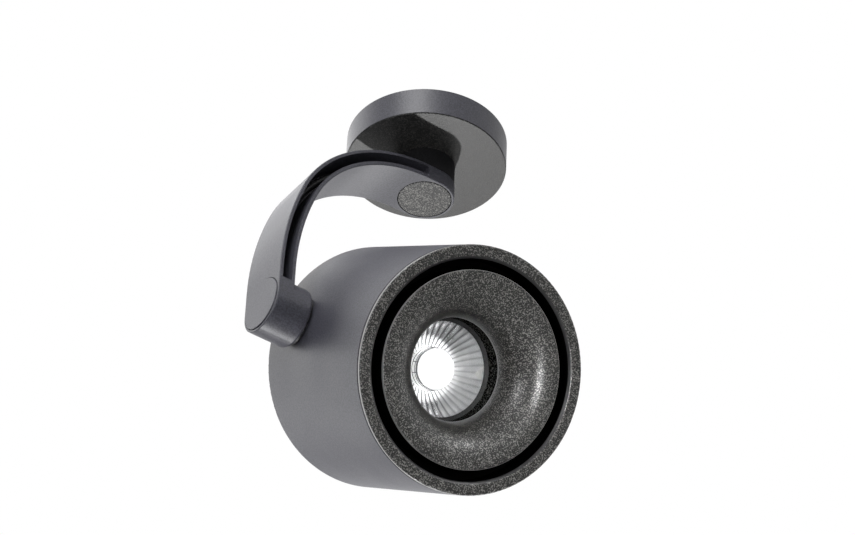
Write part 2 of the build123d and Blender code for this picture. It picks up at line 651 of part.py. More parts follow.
def make_housing():
    """The head's tube with its inner ledge and screw lugs."""
    tube_start = depth(BEZEL_DEPTH)
    body = rod(HEAD_RADIUS, -HEAD_BACK, tube_start)
    body = fillet(rim_edges(body, -HEAD_BACK, HEAD_RADIUS), HOUSING_BACK_ROUND)
    body -= rod(BORE_RADIUS, -HEAD_BACK - OVERCUT, tube_start + OVERCUT)
    ledge_front = BEZEL_SKIRT + BAFFLE_WALL
    body += ring(BORE_RADIUS + HOUSING_WALL / 2, BORE_RADIUS - LEDGE_WIDTH,
                 depth(ledge_front + LEDGE_THICKNESS), depth(ledge_front))
    for lug in lugs(SINK_START - LUG_LENGTH, SINK_START, SINK_ANGLES):
        body += lug
    for lug in lugs(COVER_FRONT - LUG_LENGTH, COVER_FRONT, COVER_ANGLES):
        body += lug
    for hole in around(Pos(LUG_PITCH, 0, 0) * sink_screw_hole(), SINK_ANGLES):
        body -= hole
    for hole in cover_screw_places(cover_screw_hole()):
        body -= hole
    tilt_hole = rod(SPIGOT_RADIUS + RUNNING_GAP, HUB_END, HEAD_X)
    return HEAD_PLACE * body - TILT_PLACE * tilt_hole


def sink_screw_hole():
    """A hole through the heat sink's plate and part of the way into its lug."""
    blind_end = SINK_START - LUG_LENGTH + LUG_BLIND
    return rod(M3_RADIUS + SCREW_GAP, depth(SINK_BACK + OVERCUT), depth(blind_end))


def cover_screw_places(shape):
    """A rear cover screw's three places."""
    return around(Pos(LUG_PITCH, 0, 0) * shape, COVER_ANGLES)


def cover_screw_hole():
    """The countersunk hole in the cover and the lug, pointing backwards."""
    return Rot(180, 0, 0) * screw_hole(-depth(COVER_BACK), LUG_LENGTH)


def make_rear_cover():
    """The round plate recessed in the back of the head."""
    back = depth(COVER_BACK)
    cover = rod(BORE_RADIUS - FIT_GAP, back, depth(COVER_FRONT))
    outer = BORE_RADIUS - COVER_GROOVE_INSET + COVER_GROOVE_WIDTH / 2
    cover -= ring(outer, outer - COVER_GROOVE_WIDTH, back - OVERCUT, back + COVER_GROOVE_DEPTH)
    for hole in cover_screw_places(cover_screw_hole()):
        cover -= hole
    for hole in driver_screw_places(rod(M3_RADIUS + SCREW_GAP, back - OVERCUT,
                                        depth(COVER_FRONT) + OVERCUT)):
        cover -= hole
    return HEAD_PLACE * cover


def make_cover_screws():
    """Countersunk screws that hold the rear cover."""
    screw = Rot(180, 0, 0) * flat_head_screw(-depth(COVER_BACK), LUG_LENGTH)
    return HEAD_PLACE * (Part() + cover_screw_places(screw))


def make_bezel():
    """The front ring, with its rounded inner lip and the skirt that clamps the baffle."""
    skirt_radius = BORE_RADIUS - FIT_GAP
    seam_radius = HEAD_RADIUS - SEAM_SINK
    seam_start = BEZEL_DEPTH - SEAM_WIDTH
    profile = [(BEZEL_LIP_RADIUS, depth(0)), (HEAD_RADIUS, depth(0)),
               (HEAD_RADIUS, depth(seam_start)), (seam_radius, depth(seam_start)),
               (seam_radius, depth(BEZEL_DEPTH)), (skirt_radius, depth(BEZEL_DEPTH)),
               (skirt_radius, depth(BEZEL_SKIRT)), (BEZEL_LIP_RADIUS, depth(BEZEL_SKIRT))]
    body = turned(profile)
    body = fillet(rim_edges(body, depth(0), BEZEL_LIP_RADIUS), BEZEL_LIP_ROUND)
    return HEAD_PLACE * fillet(rim_edges(body, depth(0), HEAD_RADIUS), BEZEL_EDGE)


def baffle_profile(inset):
    """One side of the baffle's horn: a flat that rolls over into the throat."""
    roll_start = BAFFLE_RADIUS - BAFFLE_FLAT
    across = roll_start - THROAT_RADIUS - inset
    down = THROAT_DEPTH - inset
    arc = EllipticalCenterArc((roll_start, depth(THROAT_DEPTH)), across, down,
                              start_angle=90, arc_size=90)
    return Line((BAFFLE_RADIUS - BAFFLE_WALL, depth(inset)), (roll_start, depth(inset))) + arc


def make_baffle():
    """The horn-shaped anti-glare baffle with its skirt and mounting flange."""
    front, back = baffle_profile(0), baffle_profile(BAFFLE_WALL)
    ends = [Line(front @ 0, back @ 0), Line(front @ 1, back @ 1)]
    horn = revolve(Plane.XZ * make_face(front.edges() + back.edges() + ends), Axis.Z)
    flange_back = BEZEL_SKIRT + BAFFLE_WALL
    horn += ring(BAFFLE_RADIUS, BAFFLE_RADIUS - BAFFLE_WALL, depth(flange_back), depth(0))
    horn += ring(BORE_RADIUS - FIT_GAP, BAFFLE_RADIUS - BAFFLE_WALL,
                 depth(flange_back), depth(BEZEL_SKIRT))
    return HEAD_PLACE * fillet(rim_edges(horn, depth(0), BAFFLE_RADIUS), BAFFLE_EDGE)


def make_baffle_neck():
    """The straight ring behind the horn's throat."""
    neck = ring(THROAT_RADIUS + BAFFLE_WALL, THROAT_RADIUS, depth(NECK_END), depth(THROAT_DEPTH))
    return HEAD_PLACE * fillet(rim_edges(neck, depth(THROAT_DEPTH), THROAT_RADIUS), NECK_EDGE)


def wire_notch(radius_from, radius_to, start, end):
    """A notch for the light source's wires on the head's upper side."""
    return slab((-WIRE_NOTCH_WIDTH / 2, WIRE_NOTCH_WIDTH / 2), (radius_from, radius_to),
                (depth(end), depth(start)))


def make_reflector_holder():
    """The black cup that keeps glass and reflector in line in front of the light source."""
    inside = HOLDER_RADIUS - HOLDER_WALL
    profile = [(HOLDER_LIP_RADIUS + HOLDER_CHAMFER_WIDTH, depth(HOLDER_START)),
               (HOLDER_RADIUS, depth(HOLDER_START)),
               (HOLDER_RADIUS, depth(SINK_START - HOLDER_FOOT)),
               (HOLDER_FOOT_RADIUS, depth(SINK_START - HOLDER_FOOT)),
               (HOLDER_FOOT_RADIUS, depth(SINK_START)), (inside, depth(SINK_START)),
               (inside, depth(GLASS_START)), (HOLDER_LIP_RADIUS, depth(GLASS_START)),
               (HOLDER_LIP_RADIUS, depth(HOLDER_START + HOLDER_CHAMFER_DEPTH))]
    cup = turned(profile)
    cup -= wire_notch(0, HOLDER_FOOT_RADIUS + OVERCUT, FRAME_START, SINK_START + OVERCUT)
    for hole in holder_screw_places(rod(M3_RADIUS + SCREW_GAP, depth(SINK_START + OVERCUT),
                                        depth(SINK_START - HOLDER_FOOT - OVERCUT))):
        cup -= hole
    return HEAD_PLACE * cup


def holder_screw_places(shape):
    """Three places on the holder's foot, between the wire notch and its sides."""
    pitch = (HOLDER_RADIUS + HOLDER_FOOT_RADIUS) / 2
    return around(Pos(pitch, 0, 0) * shape, HOLDER_SCREW_ANGLES)


def make_holder_screws():
    """Pan-head screws on the holder's foot."""
    screw = pan_head_screw(depth(SINK_START - HOLDER_FOOT), HOLDER_FOOT + SINK_PLATE / 2)
    return HEAD_PLACE * (Part() + holder_screw_places(screw))


def make_cover_glass():
    """The clear disc in front of the reflector."""
    radius = HOLDER_RADIUS - HOLDER_WALL - FIT_GAP
    return HEAD_PLACE * rod(radius, depth(GLASS_START + GLASS_THICKNESS), depth(GLASS_START))


def make_reflector():
    """The bright bowl from the mouth at the glass to the light source."""
    rim = HOLDER_RADIUS - HOLDER_WALL - FIT_GAP
    start, end = depth(REFLECTOR_START), depth(FRAME_START)
    across, down = REFLECTOR_BULGE
    bulge = (REFLECTOR_THROAT + across * (REFLECTOR_MOUTH - REFLECTOR_THROAT),
             start + down * (end - start))
    inner = ThreePointArc((REFLECTOR_MOUTH, start), bulge, (REFLECTOR_THROAT, end))
    wall = REFLECTOR_WALL
    rim_back = start - REFLECTOR_RIM
    outer = ThreePointArc((REFLECTOR_MOUTH + wall, rim_back),
                          (bulge[0] + wall, bulge[1] - wall / 2), (REFLECTOR_THROAT + wall, end))
    outline = [inner, Line(inner @ 1, outer @ 1), outer, Line(outer @ 0, (rim, rim_back)),
               Line((rim, rim_back), (rim, start)), Line((rim, start), inner @ 0)]
    return HEAD_PLACE * revolve(Plane.XZ * make_face(outline), Axis.Z)


def make_light_guide():
    """The opal guide on the light source: a stepped stub that stands in the reflector."""
    step_length = GUIDE_REACH / GUIDE_STEPS
    lip_back = depth(FRAME_START + LED_FRAME_LIP)
    flange = GUIDE_RADIUS + GUIDE_FLANGE
    front = GUIDE_RADIUS - (GUIDE_STEPS - 1) * GUIDE_STEP
    profile = [(0, depth(EMITTER_FRONT)), (0, depth(GUIDE_FRONT)), (front, depth(GUIDE_FRONT))]
    for number in range(1, GUIDE_STEPS):
        level = depth(GUIDE_FRONT + number * step_length)
        radius = front + number * GUIDE_STEP
        profile += [(radius - GUIDE_STEP, level), (radius, level)]
    profile += [(GUIDE_RADIUS, lip_back), (flange, lip_back), (flange, depth(EMITTER_FRONT))]
    guide = turned(profile)
    return HEAD_PLACE * chamfer(rim_edges(guide, depth(GUIDE_FRONT), front), GUIDE_EDGE)


def make_led_frame():
    """The moulded frame that presses the light source on the heat sink."""
    frame = rod(LED_FRAME_RADIUS, depth(SINK_START), depth(FRAME_START))
    pocket_side = SUBSTRATE_SIDE / 2 + FIT_GAP
    frame -= rod(GUIDE_RADIUS + FIT_GAP, depth(SINK_START), depth(FRAME_START - OVERCUT))
    frame -= rod(GUIDE_RADIUS + GUIDE_FLANGE + FIT_GAP, depth(SINK_START),
                 depth(FRAME_START + LED_FRAME_LIP))
    frame -= slab((-pocket_side, pocket_side), (-pocket_side, pocket_side),
                  (depth(SINK_START + OVERCUT), depth(SUBSTRATE_FRONT)))
    seat = depth(FRAME_START + M3_HEAD_HEIGHT)
    hole = rod(M3_RADIUS + SCREW_GAP, depth(SINK_START + OVERCUT), seat)
    hole += rod(M3_HEAD_RADIUS + SCREW_GAP, seat, depth(FRAME_START - OVERCUT))
    for placed_hole in frame_screw_places(hole):
        frame -= placed_hole
    return HEAD_PLACE * frame


def frame_screw_places(shape):
    """Two opposite places beside the light source."""
    return around(Pos((SUBSTRATE_SIDE / 2 + LED_FRAME_RADIUS) / 2, 0, 0) * shape,
                  FRAME_SCREW_ANGLES)


def make_frame_screws():
    """The two screws of the light source's frame."""
    seat = depth(FRAME_START + M3_HEAD_HEIGHT)
    length = LED_FRAME_THICKNESS - M3_HEAD_HEIGHT + SINK_PLATE / 2
    screw = pan_head_screw(seat, length)
    return HEAD_PLACE * (Part() + frame_screw_places(screw))


def square_plate(side, start, end):
    """A square plate across the head's axis between two depths."""
    half = side / 2
    return slab((-half, half), (-half, half), (depth(end), depth(start)))


def make_led_substrate():
    """The light source's square ceramic board."""
    return HEAD_PLACE * square_plate(SUBSTRATE_SIDE, SUBSTRATE_FRONT, SINK_START - PAD_THICKNESS)


def make_led_emitter():
    """The round light-emitting field on the board."""
    return HEAD_PLACE * rod(EMITTER_RADIUS, depth(SUBSTRATE_FRONT), depth(EMITTER_FRONT))


def make_thermal_pad():
    """The soft pad between the board and the heat sink."""
    return HEAD_PLACE * square_plate(SUBSTRATE_SIDE, SINK_START - PAD_THICKNESS, SINK_START)


def make_heat_sink():
    """The round plate and fins that carry the light source and cool it."""
    plate = rod(BORE_RADIUS - SINK_PLATE_GAP, depth(SINK_BACK), depth(SINK_START))
    count = int(2 * (FIN_CIRCLE - FIN_THICKNESS) / FIN_PITCH)
    for number in range(count + 1):
        x = (number - count / 2) * FIN_PITCH
        half = sqrt(FIN_CIRCLE ** 2 - (abs(x) + FIN_THICKNESS / 2) ** 2)
        plate += slab((x - FIN_THICKNESS / 2, x + FIN_THICKNESS / 2), (-half, half),
                      (depth(FINS_END), depth(SINK_BACK) + FIN_ROOT))
    plate -= wire_notch(WIRE_NOTCH_RADIUS, BORE_RADIUS + OVERCUT, SINK_START - OVERCUT,
                        FINS_END + OVERCUT)
    for hole in around(Pos(LUG_PITCH, 0, 0) * sink_screw_hole(), SINK_ANGLES):
        plate -= hole
    blind = rod(M3_RADIUS + SCREW_GAP, depth(SINK_BACK - SINK_PLATE_FLOOR),
                depth(SINK_START - OVERCUT))
    for hole in holder_screw_places(blind) + frame_screw_places(blind):
        plate -= hole
    return HEAD_PLACE * plate


def make_sink_screws():
    """Screws from behind the heat sink into the housing's front lugs."""
    screw = Rot(180, 0, 0) * pan_head_screw(-depth(SINK_BACK), SINK_PLATE + LUG_LENGTH / 2)
    return HEAD_PLACE * (Part() + around(Pos(LUG_PITCH, 0, 0) * screw, SINK_ANGLES))


def driver_screw_places(shape):
    """The two driver screws' places on the rear cover."""
    x = DRIVER_START + DRIVER_SIZE[0] / 2
    y = DRIVER_SIZE[1] / 2 + DRIVER_EAR / 2
    return [Pos(x, side * y, 0) * shape for side in (-1, 1)]


def make_driver():
    """The closed case of the driver, with an ear at each end."""
    width, length, height = DRIVER_SIZE
    x_range = (DRIVER_START, DRIVER_START + width)
    back = depth(COVER_FRONT)
    case = slab(x_range, (-length / 2, length / 2), (back, back + height))
    case = fillet(case.edges().filter_by(Axis.Z), DRIVER_EDGE)
    reach = length / 2 + DRIVER_EAR
    case += slab((x_range[0] + width / 4, x_range[1] - width / 4), (-reach, reach),
                 (back, back + DRIVER_EAR_THICKNESS))
    for hole in driver_screw_places(rod(M3_RADIUS + SCREW_GAP, back - OVERCUT,
                                        back + DRIVER_EAR_THICKNESS + OVERCUT)):
        case -= hole
    return HEAD_PLACE * case


def make_driver_screws():
    """Screws through the driver's ears into the rear cover."""
    screw = pan_head_screw(depth(COVER_FRONT) + DRIVER_EAR_THICKNESS, DRIVER_EAR_THICKNESS
                           + COVER_THICKNESS - COVER_GROOVE_DEPTH)
    return HEAD_PLACE * (Part() + driver_screw_places(screw))


def make_head_lead():
    """The lead from the tilt spigot to the driver's side."""
    lead = rod(CABLE_RADIUS, TILT_SPIGOT_END, HEAD_X + DRIVER_START)
    return TILT_PLACE * lead


def make_led_leads():
    """The wires from the driver over the heat sink to the light source's frame."""
    notch = (WIRE_NOTCH_RADIUS + BORE_RADIUS) / 2 - LED_WIRE_RADIUS
    behind = (DRIVER_FRONT + FINS_END) / 2
    front = SINK_START - HOLDER_FOOT + LED_WIRE_RADIUS - LED_WIRE_LIFT
    start_y = DRIVER_SIZE[1] / 2 - LED_WIRE_INSET
    corners = [(0, start_y, depth(DRIVER_FRONT)), (0, start_y, depth(behind)),
               (0, notch, depth(behind)), (0, notch, depth(front)),
               (0, LED_FRAME_RADIUS, depth(front))]
    path = FilletPolyline(*corners, radius=LED_WIRE_BEND)
    return HEAD_PLACE * tube(path, LED_WIRE_RADIUS)


PIECES = {
    "mounting_plate": make_mounting_plate(),
    "entry_grommet": make_entry_grommet(),
    "terminal_block": make_terminal_block(),
    "terminal_screws": make_terminal_screws(),
    "earth_terminal": make_earth_terminal(),
    "rose_leads": make_rose_leads(),
    "ceiling_rose": make_rose(),
    "rose_grub_screws": make_grub_screws(),
    "pan_drum": make_pan_drum(),
    "drum_screws": Part() + drum_screw_places(flat_head_screw(ROSE_INSIDE, DRUM_SCREW_LENGTH)),
    "pan_friction_washer": ring(WASHER_RADIUS, SPIGOT_RADIUS + RUNNING_GAP,
                                ROSE_INSIDE, PAN_WASHER_TOP),
    "pan_spring_washer": spring_washer(PAN_WASHER_TOP),
    "pan_locknut": locknut(PAN_SPRING_TOP),
    "pan_stop_pin": make_pan_stop_pin(),
    "arm": make_arm(),
    "upper_hub_cap": Pos(0, 0, -ARM_BOTTOM) * make_cap(UPPER_CAP_PROUD),
    "lower_hub_cap": TILT_PLACE * Pos(0, 0, -ARM_REACH) * make_cap(LOWER_CAP_PROUD),
    "arm_cable": make_arm_cable(),
    "saddle_washer": make_saddle_washer(),
    "saddle_block": make_saddle_block(),
    "tilt_stop_pins": make_tilt_stop_pins(),
    "tilt_friction_washer": TILT_PLACE * ring(TILT_WASHER_RADIUS, SPIGOT_RADIUS + RUNNING_GAP,
                                              BLOCK_INNER, TILT_WASHER_END),
    "tilt_tab_washer": make_tab_washer(),
    "tilt_spring_washer": TILT_PLACE * spring_washer(TAB_WASHER_END),
    "tilt_locknut": TILT_PLACE * locknut(TILT_SPRING_END),
    "head_housing": make_housing(),
    "front_bezel": make_bezel(),
    "baffle": make_baffle(),
    "baffle_neck": make_baffle_neck(),
    "reflector_holder": make_reflector_holder(),
    "holder_screws": make_holder_screws(),
    "cover_glass": make_cover_glass(),
    "reflector": make_reflector(),
    "light_guide": make_light_guide(),
    "led_frame": make_led_frame(),
    "led_frame_screws": make_frame_screws(),
    "led_substrate": make_led_substrate(),
    "led_emitter": make_led_emitter(),
    "thermal_pad": make_thermal_pad(),
    "heat_sink": make_heat_sink(),
    "heat_sink_screws": make_sink_screws(),
    "driver": make_driver(),
    "driver_screws": make_driver_screws(),
    "head_lead": make_head_lead(),
    "led_leads": make_led_leads(),
    "rear_cover": make_rear_cover(),
    "rear_cover_screws": make_cover_screws(),
}

os.makedirs("parts", exist_ok=True)
for name, shape in PIECES.items():
    export_step(shape, f"parts/{name}.step")
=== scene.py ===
"""Looks of the adjustable surface spotlight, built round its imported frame.

Lengths are in metres in the row frame: +Z up, the ceiling at height 0, the arm on the -X side.
"""
import json
import logging
import math
from dataclasses import dataclass, field
from enum import Enum
from typing import Optional, Sequence, Union

import bmesh
import bpy
from mathutils import Matrix, Vector


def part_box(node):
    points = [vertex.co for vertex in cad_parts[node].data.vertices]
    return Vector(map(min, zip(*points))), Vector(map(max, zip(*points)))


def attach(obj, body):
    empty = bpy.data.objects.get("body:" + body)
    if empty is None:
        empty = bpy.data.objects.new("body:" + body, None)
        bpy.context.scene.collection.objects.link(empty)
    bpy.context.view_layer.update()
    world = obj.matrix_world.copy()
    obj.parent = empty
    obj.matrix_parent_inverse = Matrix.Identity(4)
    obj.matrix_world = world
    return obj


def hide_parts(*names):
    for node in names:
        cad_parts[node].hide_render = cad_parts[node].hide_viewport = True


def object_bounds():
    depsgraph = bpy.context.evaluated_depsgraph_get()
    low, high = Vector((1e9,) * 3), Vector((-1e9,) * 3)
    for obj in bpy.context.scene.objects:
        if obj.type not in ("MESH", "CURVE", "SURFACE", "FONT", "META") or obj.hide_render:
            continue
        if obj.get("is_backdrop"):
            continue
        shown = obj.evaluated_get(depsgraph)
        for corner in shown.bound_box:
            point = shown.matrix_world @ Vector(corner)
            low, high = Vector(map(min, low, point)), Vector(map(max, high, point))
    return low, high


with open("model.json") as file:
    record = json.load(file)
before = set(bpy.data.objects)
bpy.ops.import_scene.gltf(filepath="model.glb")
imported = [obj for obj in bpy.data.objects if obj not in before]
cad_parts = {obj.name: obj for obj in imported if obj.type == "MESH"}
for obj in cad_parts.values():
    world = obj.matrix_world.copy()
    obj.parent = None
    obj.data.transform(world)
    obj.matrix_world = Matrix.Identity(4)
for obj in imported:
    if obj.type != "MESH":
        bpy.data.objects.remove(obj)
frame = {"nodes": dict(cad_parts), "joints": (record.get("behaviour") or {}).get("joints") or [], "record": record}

LOG = logging.getLogger("spotlight")
MM = 0.001
PHOTO_WIDTH = 855
SENSOR_WIDTH = 36.0

Colour = tuple[float, float, float]
Number = Union[int, float]

# From the middle of the lamp to the middle of its head's front.
TO_FRONT = (0.030, -0.055, -0.090)


class Kind(Enum):
    """What runs along a shader link."""

    VALUE = "value"
    VECTOR = "vector"
    COLOUR = "colour"


class Body(Enum):
    """The rigid bodies of the lamp."""

    BASE = "base"
    ARM = "arm"
    HEAD = "head"


@dataclass
class Signal:
    """A value, vector or colour on its way between shader nodes."""

    graph: "Graph"
    socket: bpy.types.NodeSocket
    kind: Kind = Kind.VALUE

    def _combine(self, operation: str, first: "Operand", second: "Operand") -> "Signal":
        """Adds the node that combines two operands.

        Args:
            operation: the Math or Vector Math operation.
            first: the left operand.
            second: the right operand.

        Returns:
            The result, of this signal's kind.
        """
        if self.kind is Kind.VALUE:
            return self.graph.node("ShaderNodeMath", {"operation": operation},
                                   {0: first, 1: second})
        both = {0: self.graph.spread(first), 1: self.graph.spread(second)}
        return self.graph.node("ShaderNodeVectorMath", {"operation": operation}, both,
                               kind=Kind.VECTOR)

    def __add__(self, other: "Operand") -> "Signal":
        """self + other."""
        return self._combine("ADD", self, other)

    def __radd__(self, other: "Operand") -> "Signal":
        """other + self."""
        return self._combine("ADD", other, self)

    def __sub__(self, other: "Operand") -> "Signal":
        """self - other."""
        return self._combine("SUBTRACT", self, other)

    def __rsub__(self, other: "Operand") -> "Signal":
        """other - self."""
        return self._combine("SUBTRACT", other, self)

    def __mul__(self, other: "Operand") -> "Signal":
        """self * other."""
        return self._combine("MULTIPLY", self, other)

    def __rmul__(self, other: "Operand") -> "Signal":
        """other * self."""
        return self._combine("MULTIPLY", other, self)

    def __truediv__(self, other: "Operand") -> "Signal":
        """self / other."""
        return self._combine("DIVIDE", self, other)

    def __rtruediv__(self, other: "Operand") -> "Signal":
        """other / self."""
        return self._combine("DIVIDE", other, self)

    def largest(self, other: "Operand") -> "Signal":
        """The larger of two values."""
        return self._combine("MAXIMUM", self, other)

    def dot(self, other: "Operand") -> "Signal":
        """The dot product of two vectors."""
        return self.graph.node("ShaderNodeVectorMath", {"operation": "DOT_PRODUCT"},
                               {0: self, 1: other}, output="Value")

    def length(self) -> "Signal":
        """The length of a vector."""
        return self.graph.node("ShaderNodeVectorMath", {"operation": "LENGTH"}, {0: self},
                               output="Value")

    def ramp(self, low: Number, high: Number) -> "Signal":
        """Goes smoothly from 0 to 1 as self goes from low to high.

        Args:
            low: where the result starts to rise.
            high: where it reaches 1.

        Returns:
            The smooth step.
        """
        settings = {"interpolation_type": "SMOOTHSTEP"}
        inputs = {"Value": self, "From Min": low, "From Max": high}
        return self.graph.node("ShaderNodeMapRange", settings, inputs)

    def band(self, low: Number, high: Number, soft: Number) -> "Signal":
        """1 between two limits and 0 outside them.

        Args:
            low: the lower limit.
            high: the upper limit.
            soft: how far each edge fades out.

        Returns:
            The share.
        """
        return self.ramp(low - soft, low + soft) * (1.0 - self.ramp(high - soft, high + soft))


Operand = Union[Signal, Number, Colour, Vector]


class Graph:
    """The node tree of one material or of the world."""

    def __init__(self, tree: bpy.types.NodeTree) -> None:
        """Starts from an empty tree."""
        self.tree = tree
        self.tree.nodes.clear()

    def node(self, node_type: str, settings: Optional[dict] = None, inputs: Optional[dict] = None,
             output: Union[int, str] = 0, kind: Kind = Kind.VALUE) -> Signal:
        """Adds one node, makes its settings and then fills its inputs.

        Args:
            node_type: the node's Blender type.
            settings: properties of the node.
            inputs: values or signals by input name or number.
            output: the output to return, by name or number.
            kind: what that output carries.

        Returns:
            The chosen output as a signal.
        """
        made = self.tree.nodes.new(node_type)
        for name, value in (settings or {}).items():
            setattr(made, name, value)
        for name, value in (inputs or {}).items():
            if isinstance(value, Signal):
                self.tree.links.new(value.socket, made.inputs[name])
            else:
                made.inputs[name].default_value = value
        return Signal(self, made.outputs[output], kind) if len(made.outputs) else Signal(self, None)

    @staticmethod
    def spread(operand: Operand) -> Operand:
        """A plain number as a vector of three, and anything else as it is."""
        return (operand,) * 3 if isinstance(operand, (int, float)) else operand

    def place(self) -> Signal:
        """The point being shaded, in metres, in the piece's own frame."""
        return self.node("ShaderNodeTexCoord", output="Object", kind=Kind.VECTOR)

    def part(self, vector: Signal, axis: str) -> Signal:
        """One component of a vector, named X, Y or Z."""
        return self.node("ShaderNodeSeparateXYZ", inputs={0: vector}, output=axis)

    def noise(self, size: float, detail: float = 2.0, roughness: float = 0.5,
              stretch: Colour = (1.0, 1.0, 1.0)) -> Signal:
        """Cloudy noise from 0 to 1.

        Args:
            size: the size of a cloud in metres.
            detail: how many finer layers are added.
            roughness: how strong the finer layers are.
            stretch: the scale along each axis.

        Returns:
            The noise value.
        """
        inputs = {"Vector": self.place() * stretch, "Scale": 1.0 / size, "Detail": detail,
                  "Roughness": roughness}
        return self.node("ShaderNodeTexNoise", inputs=inputs)

    def grains(self, size: float, spread: float) -> Signal:
        """The distance from the nearest grain's middle, in grain sizes."""
        inputs = {"Vector": self.place(), "Scale": 1.0 / size, "Randomness": spread}
        return self.node("ShaderNodeTexVoronoi", inputs=inputs)

    def mix(self, share: Operand, first: Operand, second: Operand) -> Signal:
        """A blend of two colours.

        Args:
            share: 0 for the first colour and 1 for the second.
            first: a colour.
            second: a colour.

        Returns:
            The blended colour.
        """
        settings = {"data_type": "RGBA", "blend_type": "MIX", "clamp_factor": True}
        inputs = {0: share, 6: self.opaque(first), 7: self.opaque(second)}
        return self.node("ShaderNodeMix", settings, inputs, output=2, kind=Kind.COLOUR)

    @staticmethod
    def blend(share: Signal, first: Signal, second: Operand) -> Signal:
        """A blend of two plain values, 0 for the first and 1 for the second."""
        return first + (second - first) * share

    @staticmethod
    def opaque(colour: Operand) -> Operand:
        """A plain colour with full alpha, and a signal as it is."""
        return colour if isinstance(colour, Signal) else (*colour, 1.0)

    def bump(self, height: Signal, depth: float) -> Signal:
        """A surface normal tilted by a height map.

        Args:
            height: the height from 0 to 1.
            depth: the height of 1 in metres.

        Returns:
            The normal.
        """
        inputs = {"Strength": 1.0, "Distance": depth, "Height": height}
        return self.node("ShaderNodeBump", inputs=inputs, kind=Kind.VECTOR)


@dataclass(frozen=True)
class HeadFrame:
    """The head's own frame: its axis, the way it looks, and depths behind its front face."""

    look_down: float = 33.25
    bezel_depth: float = 3 * MM

    def centre(self) -> Vector:
        """The point where the head's axis meets the tilt axis.

        Returns:
            The point, in the row frame.
        """
        low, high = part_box("head_housing")
        tilt = next(joint for joint in frame["joints"] if joint["name"] == "tilt")
        return Vector(((low.x + high.x) / 2, *tilt["pos_m"][1:]))

    def front(self) -> float:
        """How far the front face lies ahead of the tilt axis.

        Returns:
            The distance along the head's axis.
        """
        low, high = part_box("head_housing")
        slope = math.radians(self.look_down)
        drop = self.centre().z - low.z - (high.x - low.x) / 2 * math.cos(slope)
        return drop / math.sin(slope) + self.bezel_depth

    def axis(self) -> Vector:
        """The way the head looks."""
        slope = math.radians(self.look_down)
        return Vector((0.0, -math.cos(slope), -math.sin(slope)))

    def radius_and_depth(self, graph: "Graph") -> tuple["Signal", "Signal"]:
        """Where the point being shaded lies in the head.

        Args:
            graph: the node tree that works it out.

        Returns:
            Its distance from the head's axis, and its depth behind the front face.
        """
        from_centre = graph.place() - self.centre()
        ahead = from_centre.dot(self.axis())
        beside = from_centre - graph.node("ShaderNodeVectorMath", {"operation": "SCALE"},
                                          {0: tuple(self.axis()), "Scale": ahead},
                                          kind=Kind.VECTOR)
        return beside.length(), self.front() - ahead

    def across(self, degrees: float) -> Vector:
        """The direction across the head at an angle about its axis."""
        angle = math.radians(degrees)
        return self.matrix().to_3x3() @ Vector((math.cos(angle), math.sin(angle), 0.0))

    def turn(self, graph: "Graph") -> "Signal":
        """The angle about the head's axis of the point being shaded, in radians.

        Args:
            graph: the node tree that works it out.

        Returns:
            The angle, 0 on the side that across(0) points to.
        """
        from_centre = graph.place() - self.centre()
        parts = {0: from_centre.dot(self.across(90.0)), 1: from_centre.dot(self.across(0.0))}
        return graph.node("ShaderNodeMath", {"operation": "ARCTAN2"}, parts)

    def matrix(self, depth: float = 0.0) -> Matrix:
        """The frame of a plane across the head.

        Args:
            depth: how far behind the front face it lies.

        Returns:
            A matrix whose Z axis looks out of the head.
        """
        turn = Matrix.Rotation(math.radians(90 + self.look_down), 4, "X")
        return Matrix.Translation(self.centre()) @ turn @ Matrix.Translation(
            (0, 0, self.front() - depth))


@dataclass
class Surface:
    """What a finish says about a point of a surface; where it is dull it has no gloss."""

    colour: Operand
    roughness: Operand
    height: Optional[Signal] = None
    dull: Optional[Signal] = None


class Finish:
    """A surface finish that can dress a piece."""

    metallic: float = 0.0
    relief: float = 0.00002
    specular: float = 0.5

    def surface(self, graph: Graph) -> Surface:
        """Each finish says here what its surface is like."""
        raise NotImplementedError

    def extras(self, graph: Graph) -> dict:
        """Further shader inputs of a special finish."""
        return {}

    def material(self, name: str) -> bpy.types.Material:
        """Builds the Blender material.

        Args:
            name: the material's name.

        Returns:
            The material.
        """
        made = bpy.data.materials.new(name)
        made.use_nodes = True
        graph = Graph(made.node_tree)
        surface = self.surface(graph)
        inputs = {"Base Color": graph.opaque(surface.colour), "Roughness": surface.roughness,
                  "Metallic": self.metallic, "Specular IOR Level": self.specular}
        if surface.height is not None:
            inputs["Normal"] = graph.bump(surface.height, self.relief)
        inputs.update(self.extras(graph))
        shader = graph.node("ShaderNodeBsdfPrincipled", inputs=inputs)
        if surface.dull is not None:
            inputs.update({"Roughness": 1.0, "Specular IOR Level": 0.0})
            matt = graph.node("ShaderNodeBsdfPrincipled", inputs=inputs)
            shader = graph.node("ShaderNodeMixShader", inputs={0: surface.dull, 1: shader, 2: matt})
        graph.node("ShaderNodeOutputMaterial", inputs={"Surface": shader})
        return made


def shaded(colour: Colour, share: float) -> Colour:
    """A share of a colour's light, up to white."""
    return tuple(min(1.0, share * part) for part in colour)


